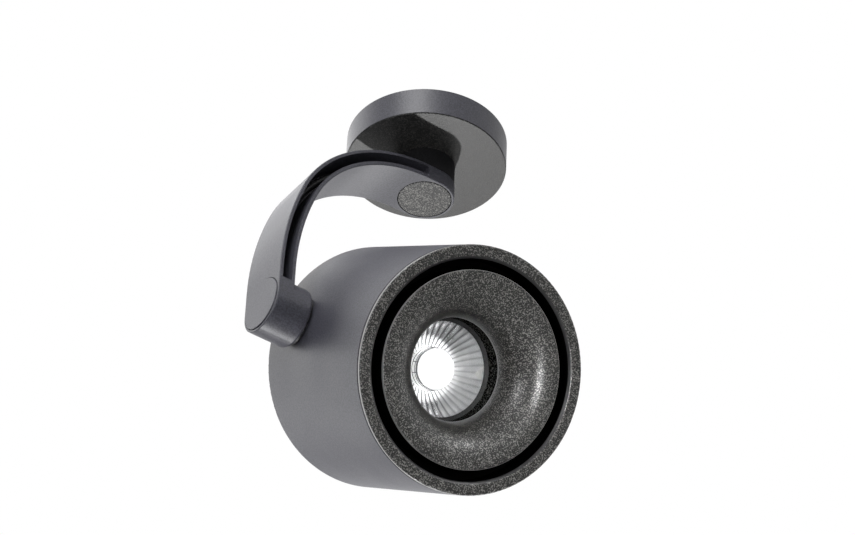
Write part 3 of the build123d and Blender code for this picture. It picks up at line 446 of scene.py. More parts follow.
@dataclass(frozen=True)
class PowderCoat(Finish):
    """A smooth satin powder coat with a fine orange peel and a light grain."""

    colour: Colour = (0.046, 0.046, 0.058)
    grain_size: float = 0.75 * MM
    peel_size: float = 1.6 * MM
    grain_depth: float = 0.24
    grain_levels: tuple[float, float] = (0.34, 0.66)
    grain_relief: float = 0.45
    cloud_depth: float = 0.10
    cloud_size: float = 24 * MM
    shades: tuple[float, float] = (0.40, 1.60)
    roughness_middle: float = 0.44
    roughness_range: float = 0.10
    specular: float = 0.32
    relief: float = 0.035 * MM

    def surface(self, graph: Graph) -> Surface:
        """Grain over slow clouds, with the peel and the grain as relief.

        Args:
            graph: the material's node tree.

        Returns:
            The surface at the point being shaded.
        """
        grain = graph.noise(self.grain_size, detail=1.0).ramp(*self.grain_levels)
        cloud = graph.noise(self.cloud_size, detail=3.0)
        peel = graph.noise(self.peel_size, detail=0.0)
        shade = (1.0 + (grain - 0.5) * (2 * self.grain_depth)
                 + (cloud - 0.5) * (2 * self.cloud_depth))
        darkest, lightest = self.shades
        colour = graph.mix((shade - darkest) / (lightest - darkest),
                           shaded(self.colour, darkest), shaded(self.colour, lightest))
        roughness = self.roughness_middle + (cloud - 0.5) * self.roughness_range
        height = grain * self.grain_relief + peel * (1.0 - self.grain_relief)
        return Surface(colour, roughness, height)


@dataclass(frozen=True)
class SandCoat(Finish):
    """A black powder coat with a sandy relief, whose grain tops are painted lighter as glints."""

    dark: Colour = (0.004, 0.004, 0.004)
    # light is a painted glint colour for the grain tops; the coat itself is near black.
    light: Colour = (0.220, 0.216, 0.205)
    grain_size: float = 0.64 * MM
    coarse_size: float = 2.4 * MM
    coarse_share: float = 0.15
    low: float = 0.52
    high: float = 0.60
    roughness_middle: float = 0.36
    polish: float = 0.16
    specular: float = 0.56
    relief: float = 0.055 * MM

    def surface(self, graph: Graph) -> Surface:
        """Grains with pits between them: the tops are painted lighter as glints, and a little smoother.

        Args:
            graph: the material's node tree.

        Returns:
            The surface at the point being shaded.
        """
        fine = graph.noise(self.grain_size, detail=1.0, roughness=0.6)
        coarse = graph.noise(self.coarse_size, detail=1.0)
        height = fine * (1.0 - self.coarse_share) + coarse * self.coarse_share
        glint_tops = height.ramp(self.low, self.high)
        colour = graph.mix(glint_tops, self.dark, self.light)
        return Surface(colour, self.roughness_middle - glint_tops * self.polish, height)


@dataclass(frozen=True)
class RoseCoat(Finish):
    """The rose's coat: smooth on its rim and sandy on its lower face."""

    rim: PowderCoat = PowderCoat()
    # The face's light colour is a painted glint on the grain tops.
    face: SandCoat = SandCoat(dark=(0.016, 0.016, 0.016), light=(0.095, 0.094, 0.090))
    face_level: float = -16.1 * MM
    soft: float = 0.2 * MM
    specular: float = 0.34
    relief: float = 0.055 * MM

    def surface(self, graph: Graph) -> Surface:
        """Both coats, parted by the height of the rim's lower edge.

        Args:
            graph: the material's node tree.

        Returns:
            The surface at the point being shaded.
        """
        height = graph.part(graph.place(), "Z")
        below = 1.0 - height.ramp(self.face_level - self.soft, self.face_level + self.soft)
        return two_coats(graph, below, self.rim, self.face)


def two_coats(graph: Graph, share: Signal, smooth: PowderCoat, sandy: SandCoat) -> Surface:
    """Blends a smooth coat and a sandy one.

    Args:
        graph: the node tree.
        share: 0 for the smooth coat and 1 for the sandy one.
        smooth: the smooth coat.
        sandy: the sandy coat, whose relief the blend keeps.

    Returns:
        The blended surface.
    """
    first, second = smooth.surface(graph), sandy.surface(graph)
    level = 0.5 + (first.height - 0.5) * (smooth.relief / sandy.relief)
    return Surface(graph.mix(share, first.colour, second.colour),
                   graph.blend(share, first.roughness, second.roughness),
                   graph.blend(share, level, second.height))


@dataclass(frozen=True)
class TrimCoat(Finish):
    """The front's sandy coat, smooth on its roundings and side, with painted highlight lines on its edges, side
    and throat, and painted black shade in its gaps and neck.
    """

    head: HeadFrame = HeadFrame()
    smooth: PowderCoat = PowderCoat(colour=(0.014, 0.014, 0.015), roughness_middle=0.34)
    sandy: SandCoat = SandCoat()
    # line_colour is a painted highlight: a light grey laid on the rounded edges, the bezel's side and the throat's
    # edge.
    line_colour: Colour = (0.17, 0.17, 0.17)
    # Painted shade: near-black laid in the groove, the seam and, in part, the neck, where shade falls.
    gap_shade_colour: Colour = (0.001, 0.001, 0.001)
    side_highlight_radius: float = 59.5 * MM
    side_highlight_depths: tuple[float, float] = (0.5 * MM, 1.7 * MM)
    lip_radii: tuple[float, float] = (51.0 * MM, 54.4 * MM)
    edge_highlight_radii: tuple[float, float] = (47.6 * MM, 48.6 * MM)
    throat_highlight_radii: tuple[float, float] = (24.0 * MM, 25.7 * MM)
    throat_highlight_depths: tuple[float, float] = (19.7 * MM, 20.6 * MM)
    groove_radii: tuple[float, float] = (46.4 * MM, 53.6 * MM)
    groove_depth: float = 0.9 * MM
    seam_radii: tuple[float, float] = (58.0 * MM, 59.9 * MM)
    seam_depths: tuple[float, float] = (1.8 * MM, 3.3 * MM)
    head_depth: float = 60.0 * MM
    soft: float = 0.12 * MM
    groove_fade: float = 0.6 * MM
    neck_fade: float = 0.3 * MM
    painted_neck_shade: float = 0.7
    cap_dullness: float = 0.55
    specular: float = 0.56
    relief: float = 0.055 * MM

    def surface(self, graph: Graph) -> Surface:
        """Both coats parted by radius and depth, then the painted highlight lines and the painted black shade of
        the gaps and the neck.

        Args:
            graph: the material's node tree.

        Returns:
            The surface at the point being shaded.
        """
        radius, depth = self.head.radius_and_depth(graph)
        soft = self.soft
        in_head = 1.0 - depth.ramp(self.head_depth, self.head_depth + MM)
        # The side, edge and throat bands carry the painted highlight lines; the lip only gets the smooth coat.
        side = (radius.ramp(self.side_highlight_radius - soft, self.side_highlight_radius + soft)
                * depth.band(*self.side_highlight_depths, soft))
        lip = radius.band(*self.lip_radii, soft) * in_head
        throat = radius.band(*self.throat_highlight_radii, soft) * depth.band(*self.throat_highlight_depths, soft)
        lines = (radius.band(*self.edge_highlight_radii, soft) * in_head).largest(throat).largest(side)
        surface = two_coats(graph, 1.0 - lip.largest(lines), self.smooth, self.sandy)
        # Painted shade: the groove goes black with depth, and the seam and the neck go toward black too.
        groove = (radius.band(*self.groove_radii, soft) * in_head
                  * depth.ramp(self.groove_depth, self.groove_depth + self.groove_fade))
        seam = radius.band(*self.seam_radii, soft) * depth.band(*self.seam_depths, soft)
        gap = groove.largest(seam)
        neck_start = self.throat_highlight_depths[1]
        neck = depth.ramp(neck_start, neck_start + self.neck_fade) * in_head
        # Painted highlight: the lines are mixed toward a light grey.
        colour = graph.mix(lines, surface.colour, self.line_colour)
        # Painted shade in the gaps and the neck.
        colour = graph.mix(gap.largest(neck * self.painted_neck_shade), colour, self.gap_shade_colour)
        # The painted-shade places also lose their gloss; the caps outside the head are only made duller.
        dull = gap.largest(neck).largest((1.0 - in_head) * self.cap_dullness)
        return Surface(colour, surface.roughness, surface.height, dull)


@dataclass(frozen=True)
class Metal(Finish):
    """A bare or plated metal with fine drawn lines."""

    colour: Colour = (0.62, 0.63, 0.65)
    roughness_middle: float = 0.32
    line_size: float = 0.25 * MM
    line_stretch: Colour = (0.06, 1.0, 1.0)
    line_share: float = 0.6
    line_gloss: float = 0.10
    stain_size: float = 9 * MM
    stain_gloss: float = 0.16
    shades: tuple[float, float] = (0.82, 1.12)
    metallic: float = 1.0
    relief: float = 0.006 * MM

    def surface(self, graph: Graph) -> Surface:
        """Drawn lines in colour, roughness and relief, over slow stains.

        Args:
            graph: the material's node tree.

        Returns:
            The surface at the point being shaded.
        """
        lines = graph.noise(self.line_size, detail=2.0, stretch=self.line_stretch)
        stains = graph.noise(self.stain_size, detail=3.0)
        dark, light = (shaded(self.colour, share) for share in self.shades)
        share = lines * self.line_share + stains * (1.0 - self.line_share)
        colour = graph.mix(share, dark, light)
        roughness = (self.roughness_middle + (stains - 0.5) * self.stain_gloss
                     + (lines - 0.5) * self.line_gloss)
        return Surface(colour, roughness, lines)


@dataclass(frozen=True)
class Moulding(Finish):
    """A moulded plastic or rubber with a fine grain."""

    colour: Colour = (0.03, 0.03, 0.032)
    roughness_middle: float = 0.55
    grain_size: float = 0.35 * MM
    grain_depth: float = 0.12
    cloud_size: float = 7 * MM
    cloud_gloss: float = 0.14
    specular: float = 0.5
    relief: float = 0.015 * MM

    def surface(self, graph: Graph) -> Surface:
        """An even grain with slow clouds in its gloss.

        Args:
            graph: the material's node tree.

        Returns:
            The surface at the point being shaded.
        """
        grain = graph.noise(self.grain_size, detail=2.0)
        cloud = graph.noise(self.cloud_size, detail=2.0)
        dark = shaded(self.colour, 1 - self.grain_depth)
        light = shaded(self.colour, 1 + self.grain_depth)
        roughness = self.roughness_middle + (cloud - 0.5) * self.cloud_gloss
        return Surface(graph.mix(grain, dark, light), roughness, grain)


@dataclass(frozen=True)
class MirrorAluminium(Finish):
    """Bright-dipped aluminium with the haze of the dip, and painted shade and dark reflection in the folds between
    its flutes.
    """

    head: HeadFrame = HeadFrame()
    colour: Colour = (0.97, 0.97, 0.98)
    # Painted shade: the folds are painted dark in place of the dark reflections a fluted mirror shows.
    fold_shade_colour: Colour = (0.16, 0.16, 0.17)
    flutes: int = 40
    fold_shade_width: tuple[float, float] = (0.05, 0.80)
    fold_fade: float = 0.75
    fold_fade_from: tuple[float, float] = (4 * MM, 17 * MM)
    haze_size: float = 3.5 * MM
    haze_shade: float = 0.92
    haze_gloss: float = 0.10
    hazy_turn: float = 8.0
    hazy_from: tuple[float, float] = (2 * MM, 14 * MM)
    haze_roughness: float = 0.22
    roughness_middle: float = 0.22
    metallic: float = 1.0

    def surface(self, graph: Graph) -> Surface:
        """A mirror with painted fold shade that fades out on one side, which is also rougher.

        Args:
            graph: the material's node tree.

        Returns:
            The surface at the point being shaded.
        """
        turn = self.head.turn(graph)
        crest = graph.node("ShaderNodeMath", {"operation": "SINE"}, {0: turn * (self.flutes / 2)})
        crest = graph.node("ShaderNodeMath", {"operation": "ABSOLUTE"}, {0: crest})
        haze = graph.noise(self.haze_size, detail=3.0)
        face = graph.mix(haze, shaded(self.colour, self.haze_shade), self.colour)
        # The painted fold shade is faded out on the side where the bowl reflects the lit disc evenly.
        toward_haze = (graph.place() - self.head.centre()).dot(self.head.across(self.hazy_turn))
        kept = 1.0 - toward_haze.ramp(*self.fold_fade_from) * self.fold_fade
        colour = graph.mix((1.0 - crest.ramp(*self.fold_shade_width)) * kept, face, self.fold_shade_colour)
        hazy = toward_haze.ramp(*self.hazy_from) * self.haze_roughness
        return Surface(colour, self.roughness_middle + (haze - 0.5) * self.haze_gloss + hazy)


@dataclass(frozen=True)
class ClearGlass(Finish):
    """Flat glass: clear, with the white studio on it at a slant."""

    colour: Colour = (0.95, 0.97, 0.97)
    index: float = 1.5
    metallic: float = 1.0
    haze: float = 0.03
    roughness_least: float = 0.03
    dust_size: float = 1.2 * MM
    dust_roughness: float = 0.05

    def surface(self, graph: Graph) -> Surface:
        """A polished face with a trace of dust."""
        dust = graph.noise(self.dust_size, detail=3.0)
        return Surface(self.colour, self.roughness_least + dust * self.dust_roughness)

    def extras(self, graph: Graph) -> dict:
        """The share of light that the face throws back, as its cover."""
        share = graph.node("ShaderNodeFresnel", inputs={"IOR": self.index})
        return {"Alpha": share + self.haze}


@dataclass(frozen=True)
class LightField(Finish):
    """The phosphor field of the light source, hidden behind the guide."""

    colour: Colour = (0.95, 0.83, 0.45)
    chip_size: float = 1.4 * MM
    chip_scatter: float = 0.15
    chip_shade: float = 0.88
    chip_gloss: float = 0.1
    roughness_least: float = 0.35

    def surface(self, graph: Graph) -> Surface:
        """A silky gel over the chips.

        Args:
            graph: the material's node tree.

        Returns:
            The surface at the point being shaded.
        """
        chips = graph.grains(self.chip_size, self.chip_scatter)
        colour = graph.mix(chips, self.colour, shaded(self.colour, self.chip_shade))
        return Surface(colour, self.roughness_least + chips * self.chip_gloss)


@dataclass(frozen=True)
class LitOpal(Finish):
    """The opal guide, lit from behind: a white disc on a stepped sleeve with moulded lines."""

    head: HeadFrame = HeadFrame()
    colour: Colour = (0.62, 0.62, 0.61)
    line_colour: Colour = (0.05, 0.05, 0.055)
    disc_glow: Colour = (1.0, 1.0, 1.0)
    side_glow: Colour = (0.36, 0.36, 0.36)
    bright_glow: Colour = (0.85, 0.85, 0.85)
    line_glow: Colour = (0.02, 0.02, 0.022)
    dim_turn: float = 200.0
    dim_from: tuple[float, float] = (5.5 * MM, 9.0 * MM)
    grain_size: float = 0.5 * MM
    grain_shade: float = 0.95
    grain_gloss: float = 0.08
    roughness_least: float = 0.38
    soft: float = 0.08 * MM
    strength: float = 1.8
    rim_glow: Colour = (0.30, 0.30, 0.31)
    rim_radius: float = 9.65 * MM
    disc_radius: float = 10.05 * MM
    disc_depth: float = 37.12 * MM
    line_depths: tuple[tuple[float, float], ...] = (
        (37.2 * MM, 38.7 * MM), (39.35 * MM, 39.65 * MM), (41.75 * MM, 42.1 * MM),
        (44.1 * MM, 44.7 * MM))
    key_turns: tuple[float, float] = (183.0, 212.0)
    key_end: float = 42.0 * MM
    key_line: float = 0.22 * MM
    spot_turn: float = 52.0
    spot_core: float = 0.27 * MM
    spot_radius: float = 0.45 * MM

    def _lines(self, graph: Graph) -> Signal:
        """The moulded rings, the sides of the key and the small spot.

        Args:
            graph: the node tree.

        Returns:
            1 on a line or the spot and 0 beside them.
        """
        depth = self.head.radius_and_depth(graph)[1]
        from_centre = graph.place() - self.head.centre()
        soft = self.soft
        spot_place = self.head.matrix(self.disc_depth) @ Matrix.Rotation(
            math.radians(self.spot_turn), 4, "Z") @ Vector((self.disc_radius, 0.0, 0.0))
        away = (graph.place() - spot_place).length()
        lines = 1.0 - away.ramp(self.spot_core, self.spot_radius)
        for low, high in self.line_depths:
            lines = lines.largest(depth.band(low, high, soft))
        on_key = depth.band(self.disc_depth + 2 * soft, self.key_end, soft)
        for degrees in self.key_turns:
            across = from_centre.dot(self.head.across(degrees + 90.0))
            ahead = from_centre.dot(self.head.across(degrees)).ramp(0.0, MM)
            lines = lines.largest(across.band(-self.key_line, self.key_line, soft) * ahead * on_key)
        return lines

    def surface(self, graph: Graph) -> Surface:
        """A plain opal with a faint grain, darker in its lines.

        Args:
            graph: the material's node tree.

        Returns:
            The surface at the point being shaded.
        """
        grain = graph.noise(self.grain_size, detail=2.0)
        opal = graph.mix(grain, shaded(self.colour, self.grain_shade), self.colour)
        return Surface(graph.mix(self._lines(graph), opal, self.line_colour),
                       self.roughness_least + grain * self.grain_gloss)

    def extras(self, graph: Graph) -> dict:
        """The glow of the disc, and the sleeve's uneven glow with its dark lines.

        Args:
            graph: the material's node tree.

        Returns:
            The glow's colour and strength, by the names of the shader's inputs.
        """
        radius, depth = self.head.radius_and_depth(graph)
        soft = self.soft
        disc = (1.0 - radius.ramp(self.disc_radius - soft, self.disc_radius + soft)) * (
            1.0 - depth.ramp(self.disc_depth, self.disc_depth + soft))
        toward_dim = (graph.place() - self.head.centre()).dot(self.head.across(self.dim_turn))
        side = graph.mix(toward_dim.ramp(*self.dim_from), self.bright_glow, self.side_glow)
        rim = radius.ramp(self.rim_radius - soft, self.rim_radius + soft) * (
            1.0 - depth.ramp(self.disc_depth + 2 * soft, self.disc_depth + 4 * soft))
        glow = graph.mix(rim, graph.mix(disc, side, self.disc_glow), self.rim_glow)
        return {"Emission Color": graph.mix(self._lines(graph), glow, self.line_glow),
                "Emission Strength": self.strength}


@dataclass(frozen=True)
class PaleFloor(Finish):
    """The studio's plain pale floor."""

    colour: Colour = (0.86, 0.86, 0.85)
    cloud_size: float = 60 * MM
    cloud_shade: float = 0.98
    roughness: float = 0.9

    def surface(self, graph: Graph) -> Surface:
        """An even matt paper.

        Args:
            graph: the material's node tree.

        Returns:
            The surface at the point being shaded.
        """
        paper = graph.noise(self.cloud_size, detail=2.0)
        dark = shaded(self.colour, self.cloud_shade)
        return Surface(graph.mix(paper, dark, self.colour), self.roughness)


FINISHES: dict[str, Finish] = {
    "charcoal_coat": PowderCoat(),
    "charcoal_steel": RoseCoat(),
    "sand_black": TrimCoat(),
    "drum_black": PowderCoat(colour=(0.010, 0.010, 0.011), roughness_middle=0.6, specular=0.12),
    "black_plastic": Moulding(colour=(0.024, 0.024, 0.025), roughness_middle=0.5,
                              grain_size=0.8 * MM, grain_depth=0.8, specular=0.25),
    "white_plastic": Moulding(colour=(0.80, 0.80, 0.78), roughness_middle=0.42, grain_depth=0.03),
    "nylon": Moulding(colour=(0.72, 0.71, 0.66), roughness_middle=0.4, grain_depth=0.04),
    "zinc_steel": Metal(),
    "bright_reflector": MirrorAluminium(),
    "clear_glass": ClearGlass(),
    "sink_aluminium": Metal(colour=(0.78, 0.79, 0.80), roughness_middle=0.38),
    "board_ceramic": Moulding(colour=(0.86, 0.86, 0.84), roughness_middle=0.3, grain_depth=0.02),
    "light_field": LightField(),
    "opal_guide": LitOpal(),
    "pad_grey": Moulding(colour=(0.40, 0.42, 0.45), roughness_middle=0.7),
    "cable_black": Moulding(colour=(0.018, 0.018, 0.02), roughness_middle=0.45),
    "wire_white": Moulding(colour=(0.78, 0.78, 0.76), roughness_middle=0.45, grain_depth=0.03),
    "grommet_rubber": Moulding(colour=(0.025, 0.025, 0.025), roughness_middle=0.75),
    "earth_brass": Metal(colour=(0.80, 0.62, 0.30), roughness_middle=0.28),
}


class Wardrobe:
    """The materials, one for each slot of the record, made when first asked for."""

    def __init__(self) -> None:
        """Starts with nothing made."""
        self._made: dict[str, bpy.types.Material] = {}

    def material(self, slot: str) -> bpy.types.Material:
        """The material of a slot.

        Args:
            slot: the record's name for it.

        Returns:
            The material, the same one each time.
        """
        if slot not in self._made:
            self._made[slot] = FINISHES[slot].material(slot)
        return self._made[slot]

    def dress(self, piece: bpy.types.Object, slot: str) -> bpy.types.Object:
        """Gives a piece one material all over.

        Args:
            piece: the piece.
            slot: the record's name for the material.

        Returns:
            The same piece.
        """
        piece.data.materials.clear()
        piece.data.materials.append(self.material(slot))
        return piece


def add_mesh(name: str, build: bmesh.types.BMesh) -> bpy.types.Object:
    """Turns a bmesh into a smooth-shaded piece.

    Args:
        name: the piece's name.
        build: its geometry, freed here.

    Returns:
        The new piece.
    """
    bmesh.ops.recalc_face_normals(build, faces=build.faces)
    mesh = bpy.data.meshes.new(name)
    build.to_mesh(mesh)
    build.free()
    mesh.shade_smooth()
    piece = bpy.data.objects.new(name, mesh)
    bpy.context.scene.collection.objects.link(piece)
    return piece


def skin_rings(build: bmesh.types.BMesh, rings: Sequence[Sequence[Vector]]) -> None:
    """Joins rings of points, each a closed loop, into a skin of quads.

    Args:
        build: the geometry that gets the skin.
        rings: the loops, all with as many points.
    """
    made = [[build.verts.new(point) for point in ring] for ring in rings]
    for inner, outer in zip(made, made[1:]):
        count = len(inner)
        for number in range(count):
            after = (number + 1) % count
            build.faces.new((inner[number], inner[after], outer[after], outer[number]))


def ring_of_points(radius: float, height: float, count: int) -> list[Vector]:
    """A level circle of points about Z."""
    turns = [2 * math.pi * number / count for number in range(count)]
    return [Vector((radius * math.cos(turn), radius * math.sin(turn), height)) for turn in turns]


def keep_creases(piece: bpy.types.Object, angle: float = 32.0) -> None:
    """Shades a piece smooth, apart from edges sharper than an angle in degrees."""
    piece.data.shade_smooth()
    piece.data.set_sharp_from_angle(angle=math.radians(angle))


@dataclass
class FlutedReflector:
    """The bright bowl with its ribs, and the small clip at its mouth."""

    head: HeadFrame
    wardrobe: Wardrobe
    mouth_radius: float = 24.0 * MM
    belly_radius: float = 20.1 * MM
    throat_radius: float = 11.0 * MM
    rim_radius: float = 28.2 * MM
    mouth_depth: float = 32.55 * MM
    belly_depth: float = 38.5 * MM
    throat_depth: float = 44.4 * MM
    ribs: int = 40
    rib_height: float = 0.62 * MM
    mouth_fade: int = 8
    throat_fade: int = 12
    steps_round_rib: int = 12
    steps_down: int = 24
    wall: float = 0.4 * MM
    clip_half_width: float = 2.4 * MM
    clip_length: float = 3.2 * MM
    clip_turn: float = 16.0
    clip_lift: float = 1.1 * MM
    clip_slope: float = 41.0
    clip_steps: int = 20

    def _bowl_point(self, share: float) -> tuple[float, float]:
        """The bowl's radius and depth at a share of the way from its mouth to its throat.

        Args:
            share: 0 at the mouth and 1 at the throat.

        Returns:
            The radius and the depth behind the front face.
        """
        ends = (1 - share) ** 2, 2 * share * (1 - share), share ** 2
        radii = (self.mouth_radius, self.belly_radius, self.throat_radius)
        depths = (self.mouth_depth, self.belly_depth, self.throat_depth)
        return (sum(a * b for a, b in zip(ends, radii)), sum(a * b for a, b in zip(ends, depths)))

    def _bowl_ring(self, share: float) -> list[Vector]:
        """One ribbed loop of the bowl.

        Args:
            share: 0 at the mouth and 1 at the throat.

        Returns:
            The loop's points, with the front face of the head at height 0.
        """
        radius, depth = self._bowl_point(share)
        fade = min(1.0, share * self.mouth_fade, (1.0 - share) * self.throat_fade)
        height = self.rib_height * fade * radius / self.mouth_radius
        count = self.ribs * self.steps_round_rib
        points = []
        for number in range(count):
            turn = 2 * math.pi * number / count
            here = radius - height * abs(math.sin(self.ribs / 2 * turn))
            points.append(Vector((here * math.cos(turn), here * math.sin(turn), -depth)))
        return points

    def build_bowl(self) -> bpy.types.Object:
        """Builds the rim and the ribbed bowl, and gives them a wall.

        Returns:
            The bowl, in place of the plain solid.
        """
        build = bmesh.new()
        count = self.ribs * self.steps_round_rib
        rings = [ring_of_points(self.rim_radius, -self.mouth_depth, count)]
        rings += [self._bowl_ring(step / self.steps_down) for step in range(self.steps_down + 1)]
        skin_rings(build, rings)
        bowl = add_mesh("reflector_bowl", build)
        bowl.data.transform(self.head.matrix())
        wall = bowl.modifiers.new("wall", "SOLIDIFY")
        wall.thickness = self.wall
        wall.offset = -1.0
        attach(bowl, Body.HEAD.value)
        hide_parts("reflector")
        return self.wardrobe.dress(bowl, "bright_reflector")

    def build_clip(self) -> bpy.types.Object:
        """Builds the half-round clip that lies on the bowl below its mouth.

        Returns:
            The clip.
        """
        build = bmesh.new()
        slope = math.radians(self.clip_slope)
        outline = []
        for step in range(self.clip_steps + 1):
            turn = math.pi * step / self.clip_steps
            down = self.clip_length * math.sin(turn)
            outline.append(Vector((self.mouth_radius - down * math.sin(slope),
                                   self.clip_half_width * math.cos(turn),
                                   -self.mouth_depth - down * math.cos(slope))))
        base = build.faces.new([build.verts.new(point) for point in outline])
        raised = bmesh.ops.extrude_face_region(build, geom=[base])
        lifted = [item for item in raised["geom"] if isinstance(item, bmesh.types.BMVert)]
        bmesh.ops.translate(build, vec=(-self.clip_lift, 0.0, 0.0), verts=lifted)
        clip = add_mesh("reflector_clip", build)
        clip.data.transform(self.head.matrix() @ Matrix.Rotation(
            math.radians(self.clip_turn), 4, "Z"))
        keep_creases(clip)
        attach(clip, Body.HEAD.value)
        return self.wardrobe.dress(clip, "white_plastic")

    def build(self) -> list[bpy.types.Object]:
        """Builds every piece of the reflector."""
        return [self.build_bowl(), self.build_clip()]


@dataclass
class CrossScrews:
    """Countersunk screws with a cross recess, in the rear cover."""

    head: HeadFrame
    wardrobe: Wardrobe
    pitch: float = 53.5 * MM
    turns: tuple[float, float, float] = (90.0, 210.0, 330.0)
    head_radius: float = 2.75 * MM
    recess_reach: float = 1.45 * MM
    recess_half_width: float = 0.34 * MM
    recess_depth: float = 0.9 * MM
    recess_taper: float = 0.8
    first_spin: int = 17
    next_spin: int = 31
    neck_radius: float = 1.5125 * MM
    neck_depth: float = 1.7875 * MM
    cover_depth: float = 100.0 * MM
    body_length: float = 6.0 * MM
    sides: int = 48

    def _cross(self) -> list[tuple[float, float]]:
        """The twelve corners of the recess, anticlockwise.

        Returns:
            Their places across the screw's head.
        """
        reach, half = self.recess_reach, self.recess_half_width
        quarter = [(reach, -half), (reach, half), (half, half)]
        corners = []
        for cos, sin in ((1, 0), (0, 1), (-1, 0), (0, -1)):
            corners += [(x * cos - y * sin, x * sin + y * cos) for x, y in quarter]
        return corners

    def _build_one(self, build: bmesh.types.BMesh, turn: float, place: Matrix) -> None:
        """Adds one screw.

        Args:
            build: the geometry that gets it.
            turn: how far its recess is turned, in degrees.
            place: where its head goes, with the screw running down from it.
        """
        spin = place @ Matrix.Rotation(math.radians(turn), 4, "Z")
        rim = [build.verts.new(spin @ point)
               for point in ring_of_points(self.head_radius, 0, self.sides)]
        cross = [build.verts.new(spin @ Vector((x, y, 0))) for x, y in self._cross()]
        taper = self.recess_taper
        floor = [build.verts.new(spin @ Vector((x * taper, y * taper, -self.recess_depth)))
                 for x, y in self._cross()]
        neck, tip = ([build.verts.new(spin @ point) for point in ring_of_points(
            self.neck_radius, -depth, self.sides)] for depth in (self.neck_depth,
                                                                 self.body_length))
        edges = [build.edges.new((loop[number - 1], loop[number]))
                 for loop in (rim, cross) for number in range(len(loop))]
        bmesh.ops.triangle_fill(build, use_beauty=True, edges=edges)
        for upper, lower in ((cross, floor), (rim, neck), (neck, tip)):
            for number in range(len(upper)):
                build.faces.new((upper[number - 1], upper[number], lower[number],
                                 lower[number - 1]))
        build.faces.new(floor)
        build.faces.new(tip)

    def build(self) -> list[bpy.types.Object]:
        """Builds the three screws as one piece.

        Returns:
            That piece alone.
        """
        build = bmesh.new()
        for number, turn in enumerate(self.turns):
            around = Matrix.Rotation(math.radians(turn), 4, "Z")
            place = (self.head.matrix(self.cover_depth) @ around
                     @ Matrix.Translation((self.pitch, 0, 0)) @ Matrix.Rotation(math.pi, 4, "X"))
            self._build_one(build, self.first_spin + self.next_spin * number, place)
        screws = add_mesh("rear_cover_cross_screws", build)
        keep_creases(screws)
        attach(screws, Body.HEAD.value)
        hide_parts("rear_cover_screws")
        return [self.wardrobe.dress(screws, "zinc_steel")]


@dataclass
class CarriedNodes:
    """The solids whose shape is shown as it is, each in its own finish."""

    wardrobe: Wardrobe

    def build(self) -> list[bpy.types.Object]:
        """Dresses every node by its slot in the record.

        Returns:
            The nodes.
        """
        slots = {part["node"]: part["material_slot"] for part in frame["record"]["subparts"]}
        for name, node in frame["nodes"].items():
            self.wardrobe.dress(node, slots[name])
            keep_creases(node)
        return list(frame["nodes"].values())


@dataclass(frozen=True)
class Softbox:
    """One lamp: the direction that it stands in, its distance, size and light on the object.

    A spread under 180 degrees is a grid on the lamp, which keeps its light near its axis.
    """

    name: str
    toward: tuple[float, float, float]
    distance: float
    size: float
    light: float
    spread: float = 180.0
    aside: tuple[float, float, float] = (0.0, 0.0, 0.0)

    def _gathered(self) -> float:
        """How many times stronger the grid makes the light on the lamp's axis."""
        half = math.radians(self.spread / 2)
        return math.tan(half) / (math.tan(half) - half) if self.spread < 180.0 else 1.0

    def build(self, target: Vector) -> bpy.types.Object:
        """Hangs the lamp and turns it to the object.

        Args:
            target: the point that it faces.

        Returns:
            The lamp.
        """
        lamp = bpy.data.lights.new(self.name, "AREA")
        lamp.shape = "DISK"
        lamp.size = self.size
        lamp.spread = math.radians(self.spread)
        lamp.energy = self.light * math.pi * self.distance ** 2 / self._gathered()
        made = bpy.data.objects.new(self.name, lamp)
        direction = Vector(self.toward).normalized()
        made.location = target + Vector(self.aside) + direction * self.distance
        made.rotation_mode = "QUATERNION"
        made.rotation_quaternion = direction.to_track_quat("Z", "Y")
        made.visible_camera = False
        bpy.context.scene.collection.objects.link(made)
        return made


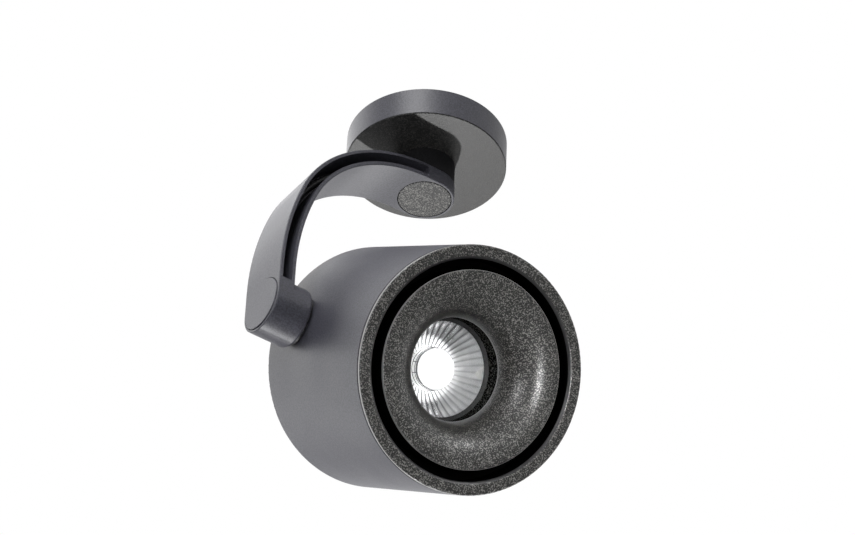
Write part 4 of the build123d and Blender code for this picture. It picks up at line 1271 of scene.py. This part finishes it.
@dataclass
class Studio:
    """The pale floor, the white surround and the lamps."""

    target: Vector
    floor_level: float = -1.75
    floor_size: float = 14.0
    ambient: float = 0.16
    lamps: tuple[Softbox, ...] = (
        Softbox("key", (0.26, 0.544, -0.798), 1.5, 0.07, 2.7),
        Softbox("backdrop", (-0.24, 0.80, 0.52), 2.0, 2.5, 2.2),
        Softbox("right", (0.70, 0.64, -0.20), 2.0, 1.2, 1.2),
        Softbox("side", (-0.85, -0.48, -0.22), 0.6, 0.35, 1.1),
        Softbox("side_high", (-0.50, -0.38, 0.78), 1.2, 0.6, 2.6),
        Softbox("front", (-0.214, -0.830, -0.507), 0.9, 0.15, 4.5, 12.0, TO_FRONT),
        Softbox("front_high", (0.226, -0.873, 0.429), 0.9, 0.30, 2.0, 16.0, TO_FRONT),
    )

    def build_floor(self) -> bpy.types.Object:
        """Lays the floor well below the lamp.

        Returns:
            The floor.
        """
        half = self.floor_size / 2
        build = bmesh.new()
        corners = [(-half, -half), (half, -half), (half, half), (-half, half)]
        build.faces.new([build.verts.new((x, y, self.floor_level)) for x, y in corners])
        floor = add_mesh("floor", build)
        floor.data.materials.append(PaleFloor().material("pale_floor"))
        floor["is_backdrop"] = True
        return floor

    def build_surround(self) -> None:
        """Makes the world white to the eye and in reflections, and softer as a light."""
        world = bpy.data.worlds.new("surround")
        world.use_nodes = True
        bpy.context.scene.world = world
        graph = Graph(world.node_tree)
        seen = graph.node("ShaderNodeLightPath", output="Is Camera Ray")
        mirrored = graph.node("ShaderNodeLightPath", output="Is Glossy Ray")
        through = graph.node("ShaderNodeLightPath", output="Is Transmission Ray")
        white = {"Color": (1.0, 1.0, 1.0, 1.0), "Strength": 1.0}
        soft = {"Color": (1.0, 1.0, 1.0, 1.0), "Strength": self.ambient}
        shader = graph.node("ShaderNodeMixShader", inputs={
            0: seen.largest(mirrored).largest(through),
            1: graph.node("ShaderNodeBackground", inputs=soft),
            2: graph.node("ShaderNodeBackground", inputs=white)})
        graph.node("ShaderNodeOutputWorld", inputs={"Surface": shader})

    def build(self) -> None:
        """Sets up the studio."""
        self.build_floor()
        self.build_surround()
        for lamp in self.lamps:
            lamp.build(self.target)
        bpy.context.scene.view_settings.view_transform = "Standard"


@dataclass(frozen=True)
class PhotoCamera:
    """The camera that took the photograph, as found from the lamp's circles and edges."""

    place: tuple[float, float, float] = (-850.3 * MM, -1282.3 * MM, -1379.6 * MM)
    azimuth: float = -33.665
    elevation: float = -40.093
    roll: float = 2.534
    focal_pixels: float = 3976.2

    def build(self) -> bpy.types.Object:
        """Makes the camera and hands it to the scene.

        Returns:
            The camera.
        """
        azimuth, elevation, roll = (math.radians(angle) for angle in
                                    (self.azimuth, self.elevation, self.roll))
        back = Vector((math.sin(azimuth) * math.cos(elevation),
                       -math.cos(azimuth) * math.cos(elevation), math.sin(elevation)))
        level = Vector((math.cos(azimuth), math.sin(azimuth), 0.0))
        raised = level.cross(-back)
        right = level * math.cos(roll) + raised * math.sin(roll)
        up = raised * math.cos(roll) - level * math.sin(roll)
        data = bpy.data.cameras.new("camera")
        data.sensor_fit = "HORIZONTAL"
        data.sensor_width = SENSOR_WIDTH
        data.lens = self.focal_pixels * SENSOR_WIDTH / PHOTO_WIDTH
        data.clip_start = 0.1
        data.clip_end = 50.0
        camera = bpy.data.objects.new("camera", data)
        camera.matrix_world = Matrix.Translation(self.place) @ Matrix(
            (right, up, back)).transposed().to_4x4()
        bpy.context.scene.collection.objects.link(camera)
        bpy.context.scene.camera = camera
        return camera


@dataclass
class Lamp:
    """The whole spotlight."""

    wardrobe: Wardrobe = field(default_factory=Wardrobe)
    head: HeadFrame = field(default_factory=HeadFrame)

    def build(self) -> None:
        """Builds the sub-assemblies in order and reports their pieces."""
        assemblies = (CarriedNodes(self.wardrobe), FlutedReflector(self.head, self.wardrobe),
                      CrossScrews(self.head, self.wardrobe))
        for assembly in assemblies:
            for piece in assembly.build():
                LOG.info("%s: %s", type(assembly).__name__, piece.name)


def main() -> None:
    """Builds the lamp, the studio and the camera."""
    logging.basicConfig(level=logging.INFO, format="%(name)s %(message)s")
    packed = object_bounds()
    Lamp().build()
    Studio((packed[0] + packed[1]) / 2).build()
    PhotoCamera().build()


if __name__ == "__main__":
    main()
